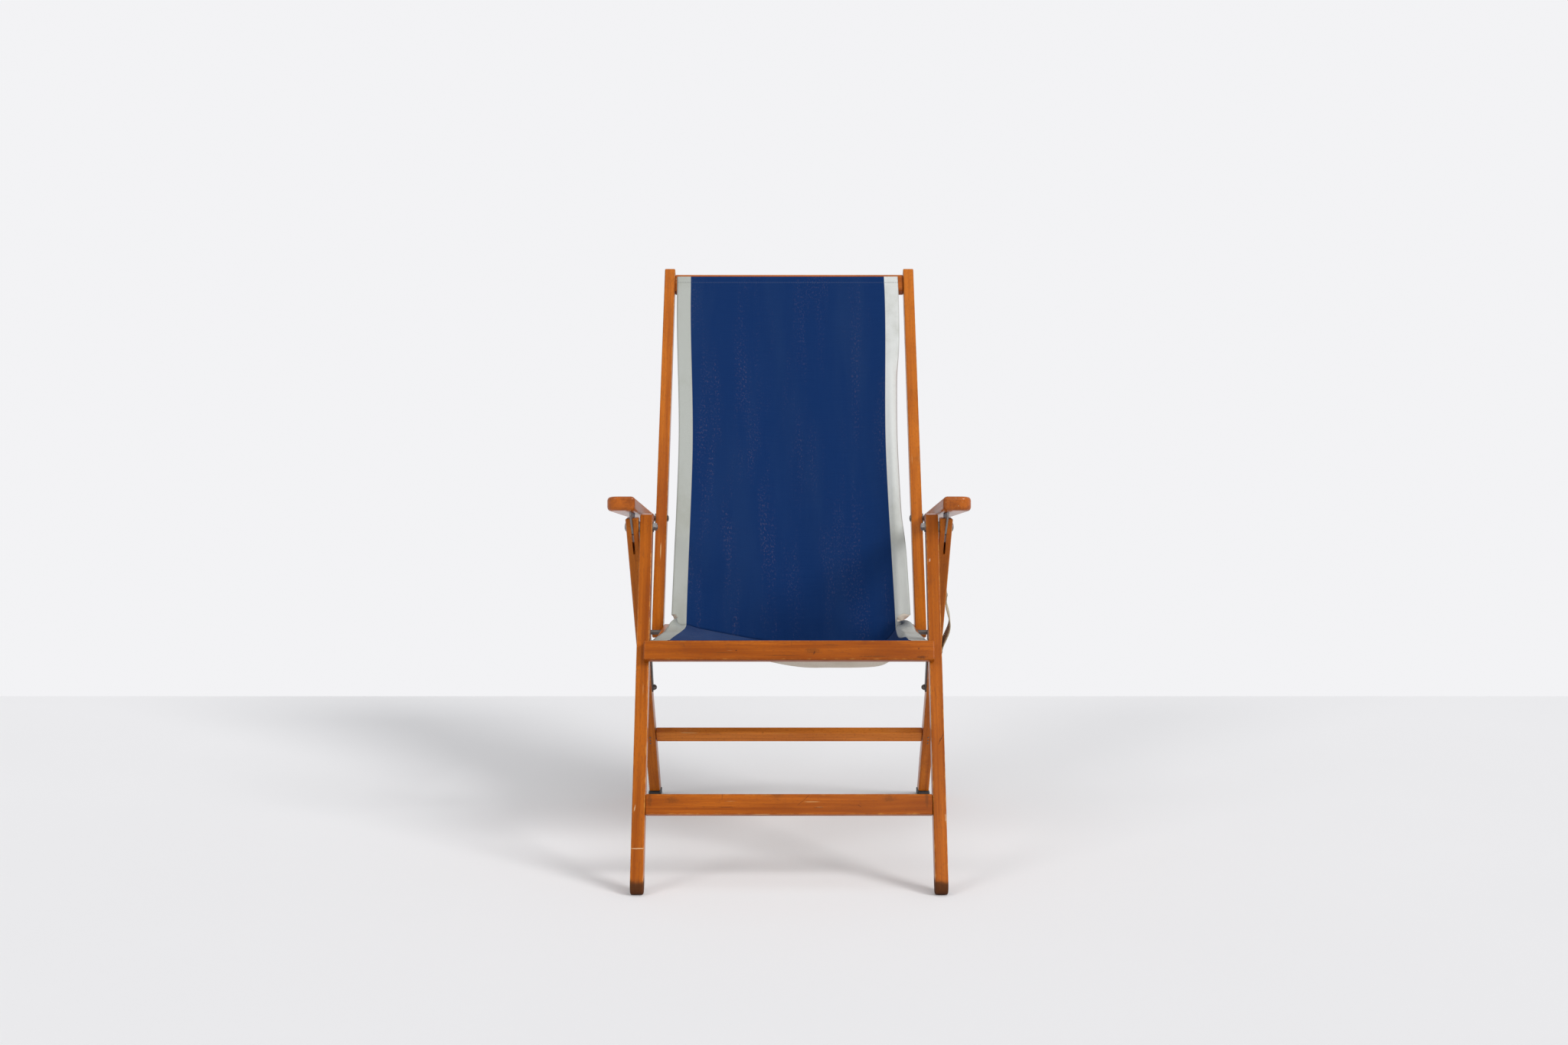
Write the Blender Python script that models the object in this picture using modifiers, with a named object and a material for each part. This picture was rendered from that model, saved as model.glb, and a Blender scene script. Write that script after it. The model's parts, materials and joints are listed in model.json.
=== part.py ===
"""Folding sling chair with arms: a beech frame on pivots, steel stays and a striped canvas sling.

All sizes are metres, +Z is up, the chair faces -Y and +X is the right side of a viewer in front of it.
Side views are drawn as (depth, height). Depth is measured to the rear from the foot of the front leg's axis.
"""
import math

import bmesh
import bpy
import numpy as np
from mathutils import Euler, Vector

# Overall layout, seen from the side as (depth, height)
FRAME_SPACING = 0.500            # between the middles of the two front legs, and of the two stiles
LEG_PIVOT_DEPTH = 0.2315         # where front leg, rear leg and arm turn
LEG_PIVOT_HEIGHT = 0.589
REAR_FOOT_DEPTH = 0.760          # where the rear leg's axis meets the floor
ARM_PIVOT_DEPTH = 0.612          # where the arm meets the stile
ARM_PIVOT_DROP = 0.011           # below the leg pivot
RECLINE = math.radians(29.2)     # the stile's lean from upright
STILE_LENGTH_ABOVE_ARM = 0.573   # from the arm's pivot to the stile's top end
BACK_PIVOT_HEIGHT = 0.373        # where the stile meets the seat's side bar
SEAT_PIVOT_HEIGHT = 0.376        # where the side bar meets the front leg
STAY_BOLT_FROM_BACK = 0.0377     # along the side bar, in front of the back's pivot
STAY_KNOB_DISTANCE = 0.4445      # along the rear leg, from the leg pivot

# Timber sections
POST_THICKNESS = 0.0215          # legs and stiles, across the chair
FRONT_LEG_DEPTH = 0.032
REAR_LEG_DEPTH = 0.030
STILE_DEPTH = 0.030
SIDE_BAR_THICKNESS = 0.0215
SIDE_BAR_DEPTH = 0.022
FRONT_LEG_TOP_HEIGHT = 0.611
REAR_LEG_UNDER_ARM = 0.007       # from the leg's level top up to the arm, over the leg pivot
TIMBER_EDGE = 0.0016             # small chamfer on long edges

# Gaps between the layers of timber
LAYER_GAP_INNER = 0.0012         # side bar to front leg
LAYER_GAP_OUTER = 0.0026         # front leg to rear leg: room for the washer and the steel stay
TOUCH_GAP = 0.0003               # between pieces that touch
BOLT_CLEARANCE = 0.0003          # round each bolt in its hole

# Rails: height along the frame's lean, thickness across it
FRONT_RAIL_HEIGHT = 0.034
FRONT_RAIL_THICKNESS = 0.018
FRONT_RAIL_EDGE = 0.003
FRONT_RAIL_TOP = 0.4206          # along the front leg from the floor to the rail's upper edge
FRONT_RAIL_OVERHANG = 0.0025     # the rail's end, inward of the middle of the leg
FRONT_STRETCHER_HEIGHT = 0.034
FRONT_STRETCHER_THICKNESS = 0.018
FRONT_STRETCHER_LEVEL = 0.1365   # height of its middle
FRONT_STRETCHER_FORWARD = 0.004  # in front of the leg's middle plane
REAR_STRETCHER_HEIGHT = 0.028
REAR_STRETCHER_THICKNESS = 0.015
REAR_STRETCHER_DISTANCE = 0.592  # along the rear leg, from the leg pivot
TOP_RAIL_HEIGHT = 0.040
TOP_RAIL_THICKNESS = 0.018
TOP_RAIL_DROP = 0.031            # from the stile's top end to the rail's middle
SEAT_REAR_RAIL_HEIGHT = 0.020
SEAT_REAR_RAIL_DEPTH = 0.020
SEAT_REAR_RAIL_FROM_BACK = 0.0204  # along the side bar, in front of the back's pivot

# Feet
RUBBER_FOOT_HEIGHT = 0.013
RUBBER_FOOT_LENGTH = 0.046
RUBBER_FOOT_WIDTH = 0.0245

# Arms
ARM_FRONT_DEPTH = 0.140          # front end of the arm
ARM_FRONT_RISE = 0.059           # from the leg pivot up to its upper face there
ARM_NOSE_FACE = 0.024            # upright face at the front end
ARM_NOSE_UNDERCUT = 0.022        # length over which the underside rises to that face
ARM_WIDTH_FRONT = 0.0487
ARM_WIDTH_REAR = 0.0215
ARM_CORNER = 0.020               # outer front corner, seen from above
ARM_END_RADIUS = 0.0095          # rounded rear end
ARM_UNDERSIDE_AT_PIVOT = 0.0235  # underside above the leg pivot
ARM_EDGE = 0.0065

# Hinge plates under the arms
PLATE_THICKNESS = 0.003
PLATE_EYE_RADIUS = 0.0145
PLATE_FORWARD = 0.058            # reach in front of the leg pivot, along the arm
PLATE_REARWARD = 0.024
PLATE_LIP = 0.006                # depth of the plate at its front end
PLATE_EYE_ARC = (-130.0, 20.0)   # free part of the eye, in degrees above the rearward line
SLOT_DEPTH = 0.055               # saw slot in the rear leg, past the leg pivot

# Bolts, washers, nuts and stays
LEG_BOLT_RADIUS = 0.0040
LEG_BOLT_HEAD_RADIUS = 0.0085
LEG_BOLT_HEAD_HEIGHT = 0.0038
NUT_RADIUS = 0.0072
NUT_HEIGHT = 0.0055
NUT_FLANGE_RADIUS = 0.0092
NUT_FLANGE_HEIGHT = 0.0014
BOLT_END_REACH = 0.0015          # the leg pivot's bolt past its nut
WASHER_RADIUS = 0.0095
WASHER_THICKNESS = 0.0020
SMALL_BOLT_RADIUS = 0.0032
SMALL_HEAD_RADIUS = 0.0068
SMALL_HEAD_HEIGHT = 0.0030
STAY_SHOULDER_RADIUS = 0.0044
STAY_WIDTH = 0.018
STAY_THICKNESS = 0.0020
KNOB_RADIUS = 0.0058
KNOB_HEIGHT = 0.0065

# Carrying strap on the right rear leg
STRAP_WIDTH = 0.022
STRAP_THICKNESS = 0.0022
STRAP_UPPER_HEIGHT = 0.456       # heights of its two screws
STRAP_LOWER_HEIGHT = 0.3375
STRAP_TAB = 0.010                # flat end past each screw
STRAP_BULGE = 0.0115
STRAP_SCREW_RADIUS = 0.0040
STRAP_SCREW_HEAD = 0.0016
STRAP_SCREW_MARGIN = 0.003       # flat webbing round each screw's head
STRAP_SHANK_RADIUS = 0.0018
STRAP_SHANK_LENGTH = 0.010

# Canvas sling
CANVAS_THICKNESS = 0.0012
CANVAS_CLEARANCE = 0.0004        # between the canvas and the timber under it
CANVAS_HALF_WIDTH_FRONT = 0.2365
CANVAS_HALF_WIDTH_CREASE = 0.2253
CANVAS_HALF_WIDTH_MIDDLE = 0.2200
CANVAS_HALF_WIDTH_TOP = 0.2312
CANVAS_SHIFT_CREASE = 0.0038     # the sling hangs slightly out of the middle
CANVAS_SHIFT_TOP = -0.0036
CANVAS_SEAT_SAG = 0.0460         # in the middle of the seat
CANVAS_BACK_SAG = 0.010
CANVAS_TOP_MARGIN = 0.006        # bare wood over the sling's end on the top rail
CANVAS_SAG_RISE_LEFT = 0.8       # how gently the sling rises to the left side bar
CANVAS_SAG_RISE_RIGHT = 7.0      # how steeply it rises to the right one
CANVAS_SAG_OFFSET = 0.050        # the lowest line of the sling, to the right of the middle
CANVAS_BAR_MARGIN = 0.010        # the sling is level with the side bars this far inside them
CANVAS_CREASE_FROM_BACK = 0.042  # along the side bar, in front of the back's pivot
CANVAS_CREASE_DROP = 0.0235      # below the side bar's middle line
CANVAS_CREASE_GAP = 0.0016       # between the seat's and the back's solids at the crease
CANVAS_FOLD_DEPTH = 0.006        # soft cross folds near the crease
CANVAS_FOLD_WAVES = 46.0         # phase of those folds over the seat's length
CANVAS_FOLD_SLANT = 2.4          # phase across half the seat
CANVAS_FOLD_REACH = 0.16         # share of the seat's length that they take
CANVAS_CORNER_FOLD = 0.011       # bunched folds at the rear corners of the seat
CANVAS_CORNER_WAVES = 30.0       # phase of the bunched folds across half the seat
CANVAS_CORNER_SLANT = 14.0       # phase over the seat's length
CANVAS_CORNER_REACH = 0.13       # share of half the width that they take
CANVAS_BACK_REACH = 0.09         # share of the back's length that they take
CANVAS_RIPPLE = 0.002            # slight waves in the back
CANVAS_RIPPLE_WAVES = 9.0        # phase across half the back
CANVAS_RIPPLE_SLANT = 5.0        # phase over the back's length
SEAT_COLUMNS, SEAT_ROWS = 22, 24
BACK_COLUMNS, BACK_ROWS = 20, 24
SEAT_ROW_SHARE = 1.0 / SEAT_ROWS
CANVAS_START = 0.35              # where the sling starts on the rail's upper face, from its front
BACK_PANEL_SHARE = 1.0 - 2 / BACK_ROWS  # the last two rows lie on the top rail

# Cutters reach past what they cut
CUT_REACH = 0.010
HOLE_REACH = 0.001

# Surface steps
ARC_STEPS = 8
ROUND_STEPS = 20
STRAP_STEPS = 14

# Colours and finishes: colour, roughness, metallic
BEECH = ((0.45, 0.17, 0.045, 1.0), 0.32, 0.0)
STEEL = ((0.42, 0.42, 0.41, 1.0), 0.38, 1.0)
DARK_STEEL = ((0.16, 0.15, 0.14, 1.0), 0.45, 1.0)
RUBBER = ((0.02, 0.02, 0.02, 1.0), 0.75, 0.0)
WEBBING = ((0.52, 0.43, 0.28, 1.0), 0.85, 0.0)
CANVAS_BLUE = ((0.02, 0.07, 0.18, 1.0), 0.9, 0.0)

SIDE_PLANE = Euler((math.pi / 2, 0.0, math.pi / 2))  # drawing plane of the side view


def leg_point(distance):
    """Point on the front leg's axis, at a distance along it from the floor."""
    return Vector((LEG_PIVOT_DEPTH, LEG_PIVOT_HEIGHT)).normalized() * distance


def leg_point_at_height(height):
    """Point on the front leg's axis at a height."""
    return Vector((LEG_PIVOT_DEPTH * height / LEG_PIVOT_HEIGHT, height))


def unit(angle):
    """Direction in the side view at an angle above the rearward line."""
    return Vector((math.cos(angle), math.sin(angle)))


# Pivots and directions worked out from the layout
LEG_PIVOT = Vector((LEG_PIVOT_DEPTH, LEG_PIVOT_HEIGHT))
ARM_PIVOT_HEIGHT = LEG_PIVOT_HEIGHT - ARM_PIVOT_DROP
ARM_FRONT_TOP = LEG_PIVOT_HEIGHT + ARM_FRONT_RISE
REAR_LEG_TOP_HEIGHT = LEG_PIVOT_HEIGHT + ARM_UNDERSIDE_AT_PIVOT - REAR_LEG_UNDER_ARM
ARM_PIVOT = Vector((ARM_PIVOT_DEPTH, ARM_PIVOT_HEIGHT))
SEAT_PIVOT = leg_point_at_height(SEAT_PIVOT_HEIGHT)
FRONT_LEG_UP = LEG_PIVOT.normalized()
FRONT_LEG_REAR = Vector((FRONT_LEG_UP.y, -FRONT_LEG_UP.x))
REAR_LEG_DOWN = (Vector((REAR_FOOT_DEPTH, 0.0)) - LEG_PIVOT).normalized()
REAR_LEG_FRONT = Vector((REAR_LEG_DOWN.y, -REAR_LEG_DOWN.x))
STILE_UP = unit(math.pi / 2 - RECLINE)
STILE_FRONT = Vector((-STILE_UP.y, STILE_UP.x))
BACK_PIVOT = ARM_PIVOT - STILE_UP * ((ARM_PIVOT_HEIGHT - BACK_PIVOT_HEIGHT) / STILE_UP.y)
SIDE_BAR_REAR = (BACK_PIVOT - SEAT_PIVOT).normalized()
SIDE_BAR_UP = Vector((-SIDE_BAR_REAR.y, SIDE_BAR_REAR.x))
STAY_BOLT = BACK_PIVOT - SIDE_BAR_REAR * STAY_BOLT_FROM_BACK
STAY_KNOB = LEG_PIVOT + REAR_LEG_DOWN * STAY_KNOB_DISTANCE
STILE_TOP = ARM_PIVOT + STILE_UP * STILE_LENGTH_ABOVE_ARM
ARM_DROP = (ARM_FRONT_TOP - ARM_PIVOT_HEIGHT - ARM_END_RADIUS) / (ARM_PIVOT_DEPTH - ARM_FRONT_DEPTH)

# Layers across the chair, as distances from its middle
POST_MIDDLE = FRAME_SPACING / 2
POST_INNER = POST_MIDDLE - POST_THICKNESS / 2
POST_OUTER = POST_INNER + POST_THICKNESS
SIDE_BAR_OUTER = POST_INNER - LAYER_GAP_INNER
SIDE_BAR_INNER = SIDE_BAR_OUTER - SIDE_BAR_THICKNESS
REAR_LEG_INNER = POST_OUTER + LAYER_GAP_OUTER
REAR_LEG_OUTER = REAR_LEG_INNER + POST_THICKNESS
REAR_LEG_MIDDLE = (REAR_LEG_INNER + REAR_LEG_OUTER) / 2

# The origin stands under the middle of the chair's depth
FOOT_CENTRE = leg_point(FRONT_LEG_DEPTH / 2 / FRONT_LEG_UP.y)
FRONT_REACH = FOOT_CENTRE.x - FRONT_LEG_DEPTH / 2
REAR_REACH = (STILE_TOP - STILE_FRONT * STILE_DEPTH / 2).x
DEPTH_MIDDLE = (FRONT_REACH + REAR_REACH) / 2


def world(x, point):
    """World position of a side-view point at a distance across the chair."""
    return Vector((x, point.x - DEPTH_MIDDLE, point.y))


def new_collection(name):
    """Add a collection to the scene."""
    collection = bpy.data.collections.new(name)
    bpy.context.scene.collection.children.link(collection)
    return collection


def new_material(name, finish):
    """Principled material from a colour, a roughness and a metallic value."""
    colour, roughness, metallic = finish
    material = bpy.data.materials.new(name)
    material.use_nodes = True
    shader = material.node_tree.nodes["Principled BSDF"]
    shader.inputs["Base Color"].default_value = colour
    shader.inputs["Roughness"].default_value = roughness
    shader.inputs["Metallic"].default_value = metallic
    material.diffuse_color = colour
    return material


class Body:
    """A rigid group of pieces that turns about one axis across the chair."""

    def __init__(self, name, pivot):
        self.pivot = pivot
        self.empty = bpy.data.objects.new(name + "_axis", None)
        self.empty.location = world(0.0, pivot)
        self.empty.empty_display_size = 0.05
        PARTS.objects.link(self.empty)

    def carry(self, piece, finish):
        """Hang a piece on this group and give it its own material."""
        piece.parent = self.empty
        piece.location = piece.location - self.empty.location
        piece.data.materials.clear()
        piece.data.materials.append(new_material(piece.name + "_finish", finish))
        return piece


def arc(centre, radius, start, end, steps=ARC_STEPS):
    """Points on an arc from one angle to another, both in degrees."""
    angles = np.radians(np.linspace(start, end, steps + 1))
    return [centre + Vector((math.cos(a), math.sin(a))) * radius for a in angles]


def angle_of(direction):
    """Angle of a side-view direction above the rearward line, in degrees."""
    return math.degrees(math.atan2(direction.y, direction.x))


def outline_mesh(outline, thickness):
    """Closed mesh of a flat outline, as thick as given."""
    curve = bpy.data.curves.new("outline", "CURVE")
    curve.dimensions = "2D"
    curve.fill_mode = "BOTH"
    curve.extrude = thickness / 2
    spline = curve.splines.new("POLY")
    spline.points.add(len(outline) - 1)
    for point, place in zip(spline.points, outline):
        point.co = (place.x, place.y, 0.0, 1.0)
    spline.use_cyclic_u = True
    holder = bpy.data.objects.new("outline", curve)
    bpy.context.scene.collection.objects.link(holder)
    graph = bpy.context.evaluated_depsgraph_get()
    mesh = bpy.data.meshes.new_from_object(holder.evaluated_get(graph))
    bpy.data.objects.remove(holder)
    bpy.data.curves.remove(curve)
    shape = bmesh.new()
    shape.from_mesh(mesh)
    bmesh.ops.remove_doubles(shape, verts=shape.verts, dist=0.00002)
    bmesh.ops.dissolve_limit(shape, angle_limit=math.radians(0.5), verts=shape.verts, edges=shape.edges)
    bmesh.ops.recalc_face_normals(shape, faces=shape.faces)
    shape.to_mesh(mesh)
    shape.free()
    return mesh


def add_piece(name, mesh, collection=None):
    """New object for a mesh."""
    piece = bpy.data.objects.new(name, mesh)
    mesh.name = name
    (collection or PARTS).objects.link(piece)
    return piece


def add_bevel(piece, width, segments=1):
    """Chamfered or rounded edges on a piece."""
    bevel = piece.modifiers.new("edges", "BEVEL")
    bevel.width = width
    bevel.segments = segments
    bevel.limit_method = "ANGLE"
    bevel.angle_limit = math.radians(40)
    return bevel


def board(name, outline, pivot, x_middle, thickness, edge=TIMBER_EDGE):
    """Board whose side view is the outline, given about its pivot."""
    piece = add_piece(name, outline_mesh([point - pivot for point in outline], thickness))
    piece.rotation_euler = SIDE_PLANE
    piece.location = world(x_middle, pivot)
    if edge:
        add_bevel(piece, edge)
    return piece


def box_piece(name, size, location, rotation, edge, segments=1, collection=None):
    """Box with softened edges, its scale already in its mesh."""
    mesh = bpy.data.meshes.new(name)
    shape = bmesh.new()
    bmesh.ops.create_cube(shape, size=1.0)
    bmesh.ops.scale(shape, vec=size, verts=shape.verts)
    shape.to_mesh(mesh)
    shape.free()
    piece = add_piece(name, mesh, collection)
    piece.location = location
    piece.rotation_euler = rotation
    if edge:
        add_bevel(piece, edge, segments)
    return piece


def cross_rail(name, length, up, height, thickness, centre):
    """Rail across the chair, its height along a side-view direction."""
    tilt = math.atan2(up.y, up.x) - math.pi / 2
    size = (length, thickness, height)
    return box_piece(name, size, world(0.0, centre), Euler((tilt, 0.0, 0.0)), TIMBER_EDGE)


def turned(name, profile, x_start, side, place, steps=ROUND_STEPS, collection=None):
    """Turned piece on an axis across the chair.

    The profile is (radius, distance outward from x_start), from the outer end to the inner one.
    """
    mesh = bpy.data.meshes.new(name)
    shape = bmesh.new()
    corners = [shape.verts.new((radius, 0.0, along)) for radius, along in profile]
    for first, second in zip(corners, corners[1:]):
        shape.edges.new((first, second))
    shape.to_mesh(mesh)
    shape.free()
    piece = add_piece(name, mesh, collection)
    screw = piece.modifiers.new("turn", "SCREW")
    screw.axis = "Z"
    screw.steps = steps
    screw.render_steps = steps
    screw.use_merge_vertices = True
    screw.merge_threshold = 0.00005
    piece.rotation_euler = Euler((0.0, side * math.pi / 2, 0.0))
    piece.location = world(side * x_start, place)
    return piece


def cutter_bar(name, radius, x_start, x_end, side, place):
    """Round cutter on an axis across the chair."""
    length = x_end - x_start
    profile = [(0.0, length), (radius, length), (radius, 0.0), (0.0, 0.0)]
    cutter = turned(name, profile, x_start, side, place, 16, CUTTERS)
    cutter.hide_render = True
    cutter.display_type = "WIRE"
    return cutter


def cut(piece, cutter, operation="DIFFERENCE"):
    """Cut a piece with another, before its edges are softened."""
    boolean = piece.modifiers.new("cut", "BOOLEAN")
    boolean.operation = operation
    boolean.object = cutter
    boolean.solver = "EXACT"
    piece.modifiers.move(len(piece.modifiers) - 1, 0)
    cutter.hide_render = True
    cutter.display_type = "WIRE"
    return boolean


def drill(piece, radius, x_start, x_end, side, place):
    """Round hole through a piece, for a bolt of the given radius."""
    name = piece.name + "_hole"
    first, last = x_start - HOLE_REACH, x_end + HOLE_REACH
    cut_after_edges(piece, cutter_bar(name, radius + BOLT_CLEARANCE, first, last, side, place))


def cut_after_edges(piece, cutter):
    """Cut a piece after its edges are softened, which leaves the hole's rim sharp."""
    boolean = cut(piece, cutter)
    piece.modifiers.move(0, len(piece.modifiers) - 1)
    return boolean


def dome(radius, start, height, steps=4):
    """Profile of a domed head that rises from a start by its height, from its top outward and down."""
    angles = np.linspace(math.pi / 2, 0.0, steps + 1)
    return [(radius * math.cos(a), start + height * math.sin(a)) for a in angles]


def side_name(side):
    """Name of a side as seen from the front."""
    return "right" if side > 0 else "left"


def post_outline(foot, top_height, direction, depth):
    """Post with a rounded lower end about a point and a level top end."""
    across = Vector((direction.y, -direction.x)) * depth / 2
    rear_top = foot + across + direction * ((top_height - foot.y - across.y) / direction.y)
    front_top = foot - across + direction * ((top_height - foot.y + across.y) / direction.y)
    start = angle_of(across)
    return arc(foot, depth / 2, start - 180.0, start) + [rear_top, front_top]


def front_legs(body):
    """Two front legs, drilled for the leg pivot and the seat pivot."""
    outline = post_outline(FOOT_CENTRE, FRONT_LEG_TOP_HEIGHT, FRONT_LEG_UP, FRONT_LEG_DEPTH)
    for side in (-1, 1):
        leg = board("front_leg_" + side_name(side), outline, LEG_PIVOT, side * POST_MIDDLE, POST_THICKNESS)
        drill(leg, LEG_BOLT_RADIUS, POST_INNER, POST_OUTER, side, LEG_PIVOT)
        drill(leg, SMALL_BOLT_RADIUS, POST_INNER, POST_OUTER, side, SEAT_PIVOT)
        body.carry(leg, BEECH)


def front_rails(body):
    """Rail that starts the sling, on the front faces of the legs, and the stretcher between the legs."""
    offset = FRONT_LEG_DEPTH / 2 + TOUCH_GAP + FRONT_RAIL_THICKNESS / 2
    centre = leg_point(FRONT_RAIL_TOP - FRONT_RAIL_HEIGHT / 2) - FRONT_LEG_REAR * offset
    length = FRAME_SPACING - 2 * FRONT_RAIL_OVERHANG
    height, thickness = FRONT_RAIL_HEIGHT, FRONT_RAIL_THICKNESS
    rail = cross_rail("seat_front_rail", length, FRONT_LEG_UP, height, thickness, centre)
    rail.modifiers["edges"].width = FRONT_RAIL_EDGE
    rail.modifiers["edges"].segments = 2
    body.carry(rail, BEECH)
    centre = leg_point_at_height(FRONT_STRETCHER_LEVEL) - FRONT_LEG_REAR * FRONT_STRETCHER_FORWARD
    length = 2 * (POST_INNER - TOUCH_GAP)
    height, thickness = FRONT_STRETCHER_HEIGHT, FRONT_STRETCHER_THICKNESS
    body.carry(cross_rail("front_stretcher", length, FRONT_LEG_UP, height, thickness, centre), BEECH)


def leg_pivots(body):
    """Bolt, washer and flanged nut on each side of the leg pivot."""
    bolt_end = POST_INNER - NUT_HEIGHT - NUT_FLANGE_HEIGHT - BOLT_END_REACH
    head_seat = REAR_LEG_OUTER + TOUCH_GAP - bolt_end
    for side in (-1, 1):
        profile = dome(LEG_BOLT_HEAD_RADIUS, head_seat, LEG_BOLT_HEAD_HEIGHT)
        profile += [(LEG_BOLT_RADIUS, head_seat), (LEG_BOLT_RADIUS, 0.0), (0.0, 0.0)]
        bolt = turned("leg_pivot_bolt_" + side_name(side), profile, bolt_end, side, LEG_PIVOT)
        body.carry(bolt, STEEL)
        body.carry(flanged_nut("leg_pivot_nut_" + side_name(side), side), STEEL)
        name = "leg_pivot_washer_" + side_name(side)
        body.carry(washer(name, LEG_BOLT_RADIUS, side, LEG_PIVOT), STEEL)


def flanged_nut(name, side):
    """Hexagon nut with a round flange against the front leg's inner face."""
    flange_face = POST_INNER - TOUCH_GAP
    nut_end = flange_face - NUT_FLANGE_HEIGHT - NUT_HEIGHT
    inner = LEG_BOLT_RADIUS + BOLT_CLEARANCE
    total = NUT_FLANGE_HEIGHT + NUT_HEIGHT
    profile = [(inner, total), (NUT_FLANGE_RADIUS, total), (NUT_FLANGE_RADIUS, NUT_HEIGHT),
               (inner, NUT_HEIGHT), (inner, total)]
    nut = turned(name, profile, nut_end, side, LEG_PIVOT)
    mesh = bpy.data.meshes.new("hexagon")
    shape = bmesh.new()
    height = NUT_HEIGHT + NUT_FLANGE_HEIGHT / 2
    radii = {"radius1": NUT_RADIUS, "radius2": NUT_RADIUS}
    bmesh.ops.create_cone(shape, cap_ends=True, segments=6, depth=height, **radii)
    shape.to_mesh(mesh)
    shape.free()
    hexagon = add_piece(name + "_hexagon", mesh, CUTTERS)
    hexagon.rotation_euler = Euler((0.0, side * math.pi / 2, 0.0))
    hexagon.location = world(side * (nut_end + height / 2), LEG_PIVOT)
    union = cut(nut, hexagon, "UNION")
    nut.modifiers.move(0, len(nut.modifiers) - 1)
    union.name = "hexagon"
    bore = cutter_bar(name + "_bore", inner, nut_end - HOLE_REACH, flange_face + HOLE_REACH, side, LEG_PIVOT)
    cut_after_edges(nut, bore)
    return nut


def washer(name, bolt_radius, side, place):
    """Washer in the gap between the middle and the outer layer."""
    inner = bolt_radius + BOLT_CLEARANCE
    gap = (LAYER_GAP_OUTER - WASHER_THICKNESS) / 2
    profile = [(inner, WASHER_THICKNESS), (WASHER_RADIUS, WASHER_THICKNESS), (WASHER_RADIUS, 0.0),
               (inner, 0.0), (inner, WASHER_THICKNESS)]
    return turned(name, profile, POST_OUTER + gap, side, place)


def inner_bolt(name, side, place, x_head_seat, x_end, finish, body):
    """Bolt with its domed head on an inner face and its end flush in the outer layer it reaches."""
    x_start = x_head_seat - TOUCH_GAP - SMALL_HEAD_HEIGHT
    length = x_end - x_start
    head = [(radius, SMALL_HEAD_HEIGHT - along) for radius, along in
            reversed(dome(SMALL_HEAD_RADIUS, 0.0, SMALL_HEAD_HEIGHT))]
    profile = [(0.0, length), (SMALL_BOLT_RADIUS, length), (SMALL_BOLT_RADIUS, SMALL_HEAD_HEIGHT)] + head
    body.carry(turned(name, profile, x_start, side, place), finish)


def seat_pivots(body):
    """Bolts that carry the seat's side bars on the front legs."""
    for side in (-1, 1):
        name = "seat_pivot_bolt_" + side_name(side)
        inner_bolt(name, side, SEAT_PIVOT, SIDE_BAR_INNER, POST_OUTER - TOUCH_GAP, DARK_STEEL, body)


def rear_legs(body):
    """Two rear legs with a slot for the hinge plate and a level foot on a rubber block."""
    across = REAR_LEG_FRONT * REAR_LEG_DEPTH / 2
    foot_height = RUBBER_FOOT_HEIGHT + TOUCH_GAP
    top_height = REAR_LEG_TOP_HEIGHT
    outline = []
    for offset, height in ((-1, foot_height), (-1, top_height), (1, top_height), (1, foot_height)):
        start = LEG_PIVOT + across * offset
        outline.append(start + REAR_LEG_DOWN * ((height - start.y) / REAR_LEG_DOWN.y))
    for side in (-1, 1):
        leg = board("rear_leg_" + side_name(side), outline, LEG_PIVOT, side * REAR_LEG_MIDDLE, POST_THICKNESS)
        drill(leg, LEG_BOLT_RADIUS, REAR_LEG_INNER, REAR_LEG_OUTER, side, LEG_PIVOT)
        slot_length = 3 * SLOT_DEPTH
        size = (PLATE_THICKNESS + 2 * TOUCH_GAP, 4 * REAR_LEG_DEPTH, slot_length)
        middle = LEG_PIVOT + REAR_LEG_DOWN * (SLOT_DEPTH - slot_length / 2)
        tilt = math.atan2(-REAR_LEG_DOWN.y, -REAR_LEG_DOWN.x) - math.pi / 2
        slot = box_piece(leg.name + "_slot", size, world(side * REAR_LEG_MIDDLE, middle),
                         Euler((tilt, 0.0, 0.0)), 0.0, 1, CUTTERS)
        cut_after_edges(leg, slot)
        if side > 0:
            for height in (STRAP_UPPER_HEIGHT, STRAP_LOWER_HEIGHT):
                place = rear_leg_point_at_height(height)
                depth = REAR_LEG_OUTER - STRAP_SHANK_LENGTH - TOUCH_GAP
                drill(leg, STRAP_SHANK_RADIUS, depth, REAR_LEG_OUTER, side, place)
        body.carry(leg, BEECH)


def rear_leg_point_at_height(height):
    """Point on the rear leg's axis at a height."""
    return LEG_PIVOT + REAR_LEG_DOWN * ((height - LEG_PIVOT_HEIGHT) / REAR_LEG_DOWN.y)


def rear_stretcher(body):
    """Low rail between the rear legs."""
    centre = LEG_PIVOT + REAR_LEG_DOWN * REAR_STRETCHER_DISTANCE
    length = 2 * (REAR_LEG_INNER - TOUCH_GAP)
    height, thickness = REAR_STRETCHER_HEIGHT, REAR_STRETCHER_THICKNESS
    body.carry(cross_rail("rear_stretcher", length, -REAR_LEG_DOWN, height, thickness, centre), BEECH)


def rear_feet(body):
    """Rubber blocks under the rear legs."""
    centre = rear_leg_point_at_height(RUBBER_FOOT_HEIGHT) - Vector((0.0, RUBBER_FOOT_HEIGHT / 2))
    size = (RUBBER_FOOT_WIDTH, RUBBER_FOOT_LENGTH, RUBBER_FOOT_HEIGHT)
    for side in (-1, 1):
        place = world(side * REAR_LEG_MIDDLE, centre)
        foot = box_piece("rear_foot_" + side_name(side), size, place, Euler(), TIMBER_EDGE)
        body.carry(foot, RUBBER)


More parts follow.
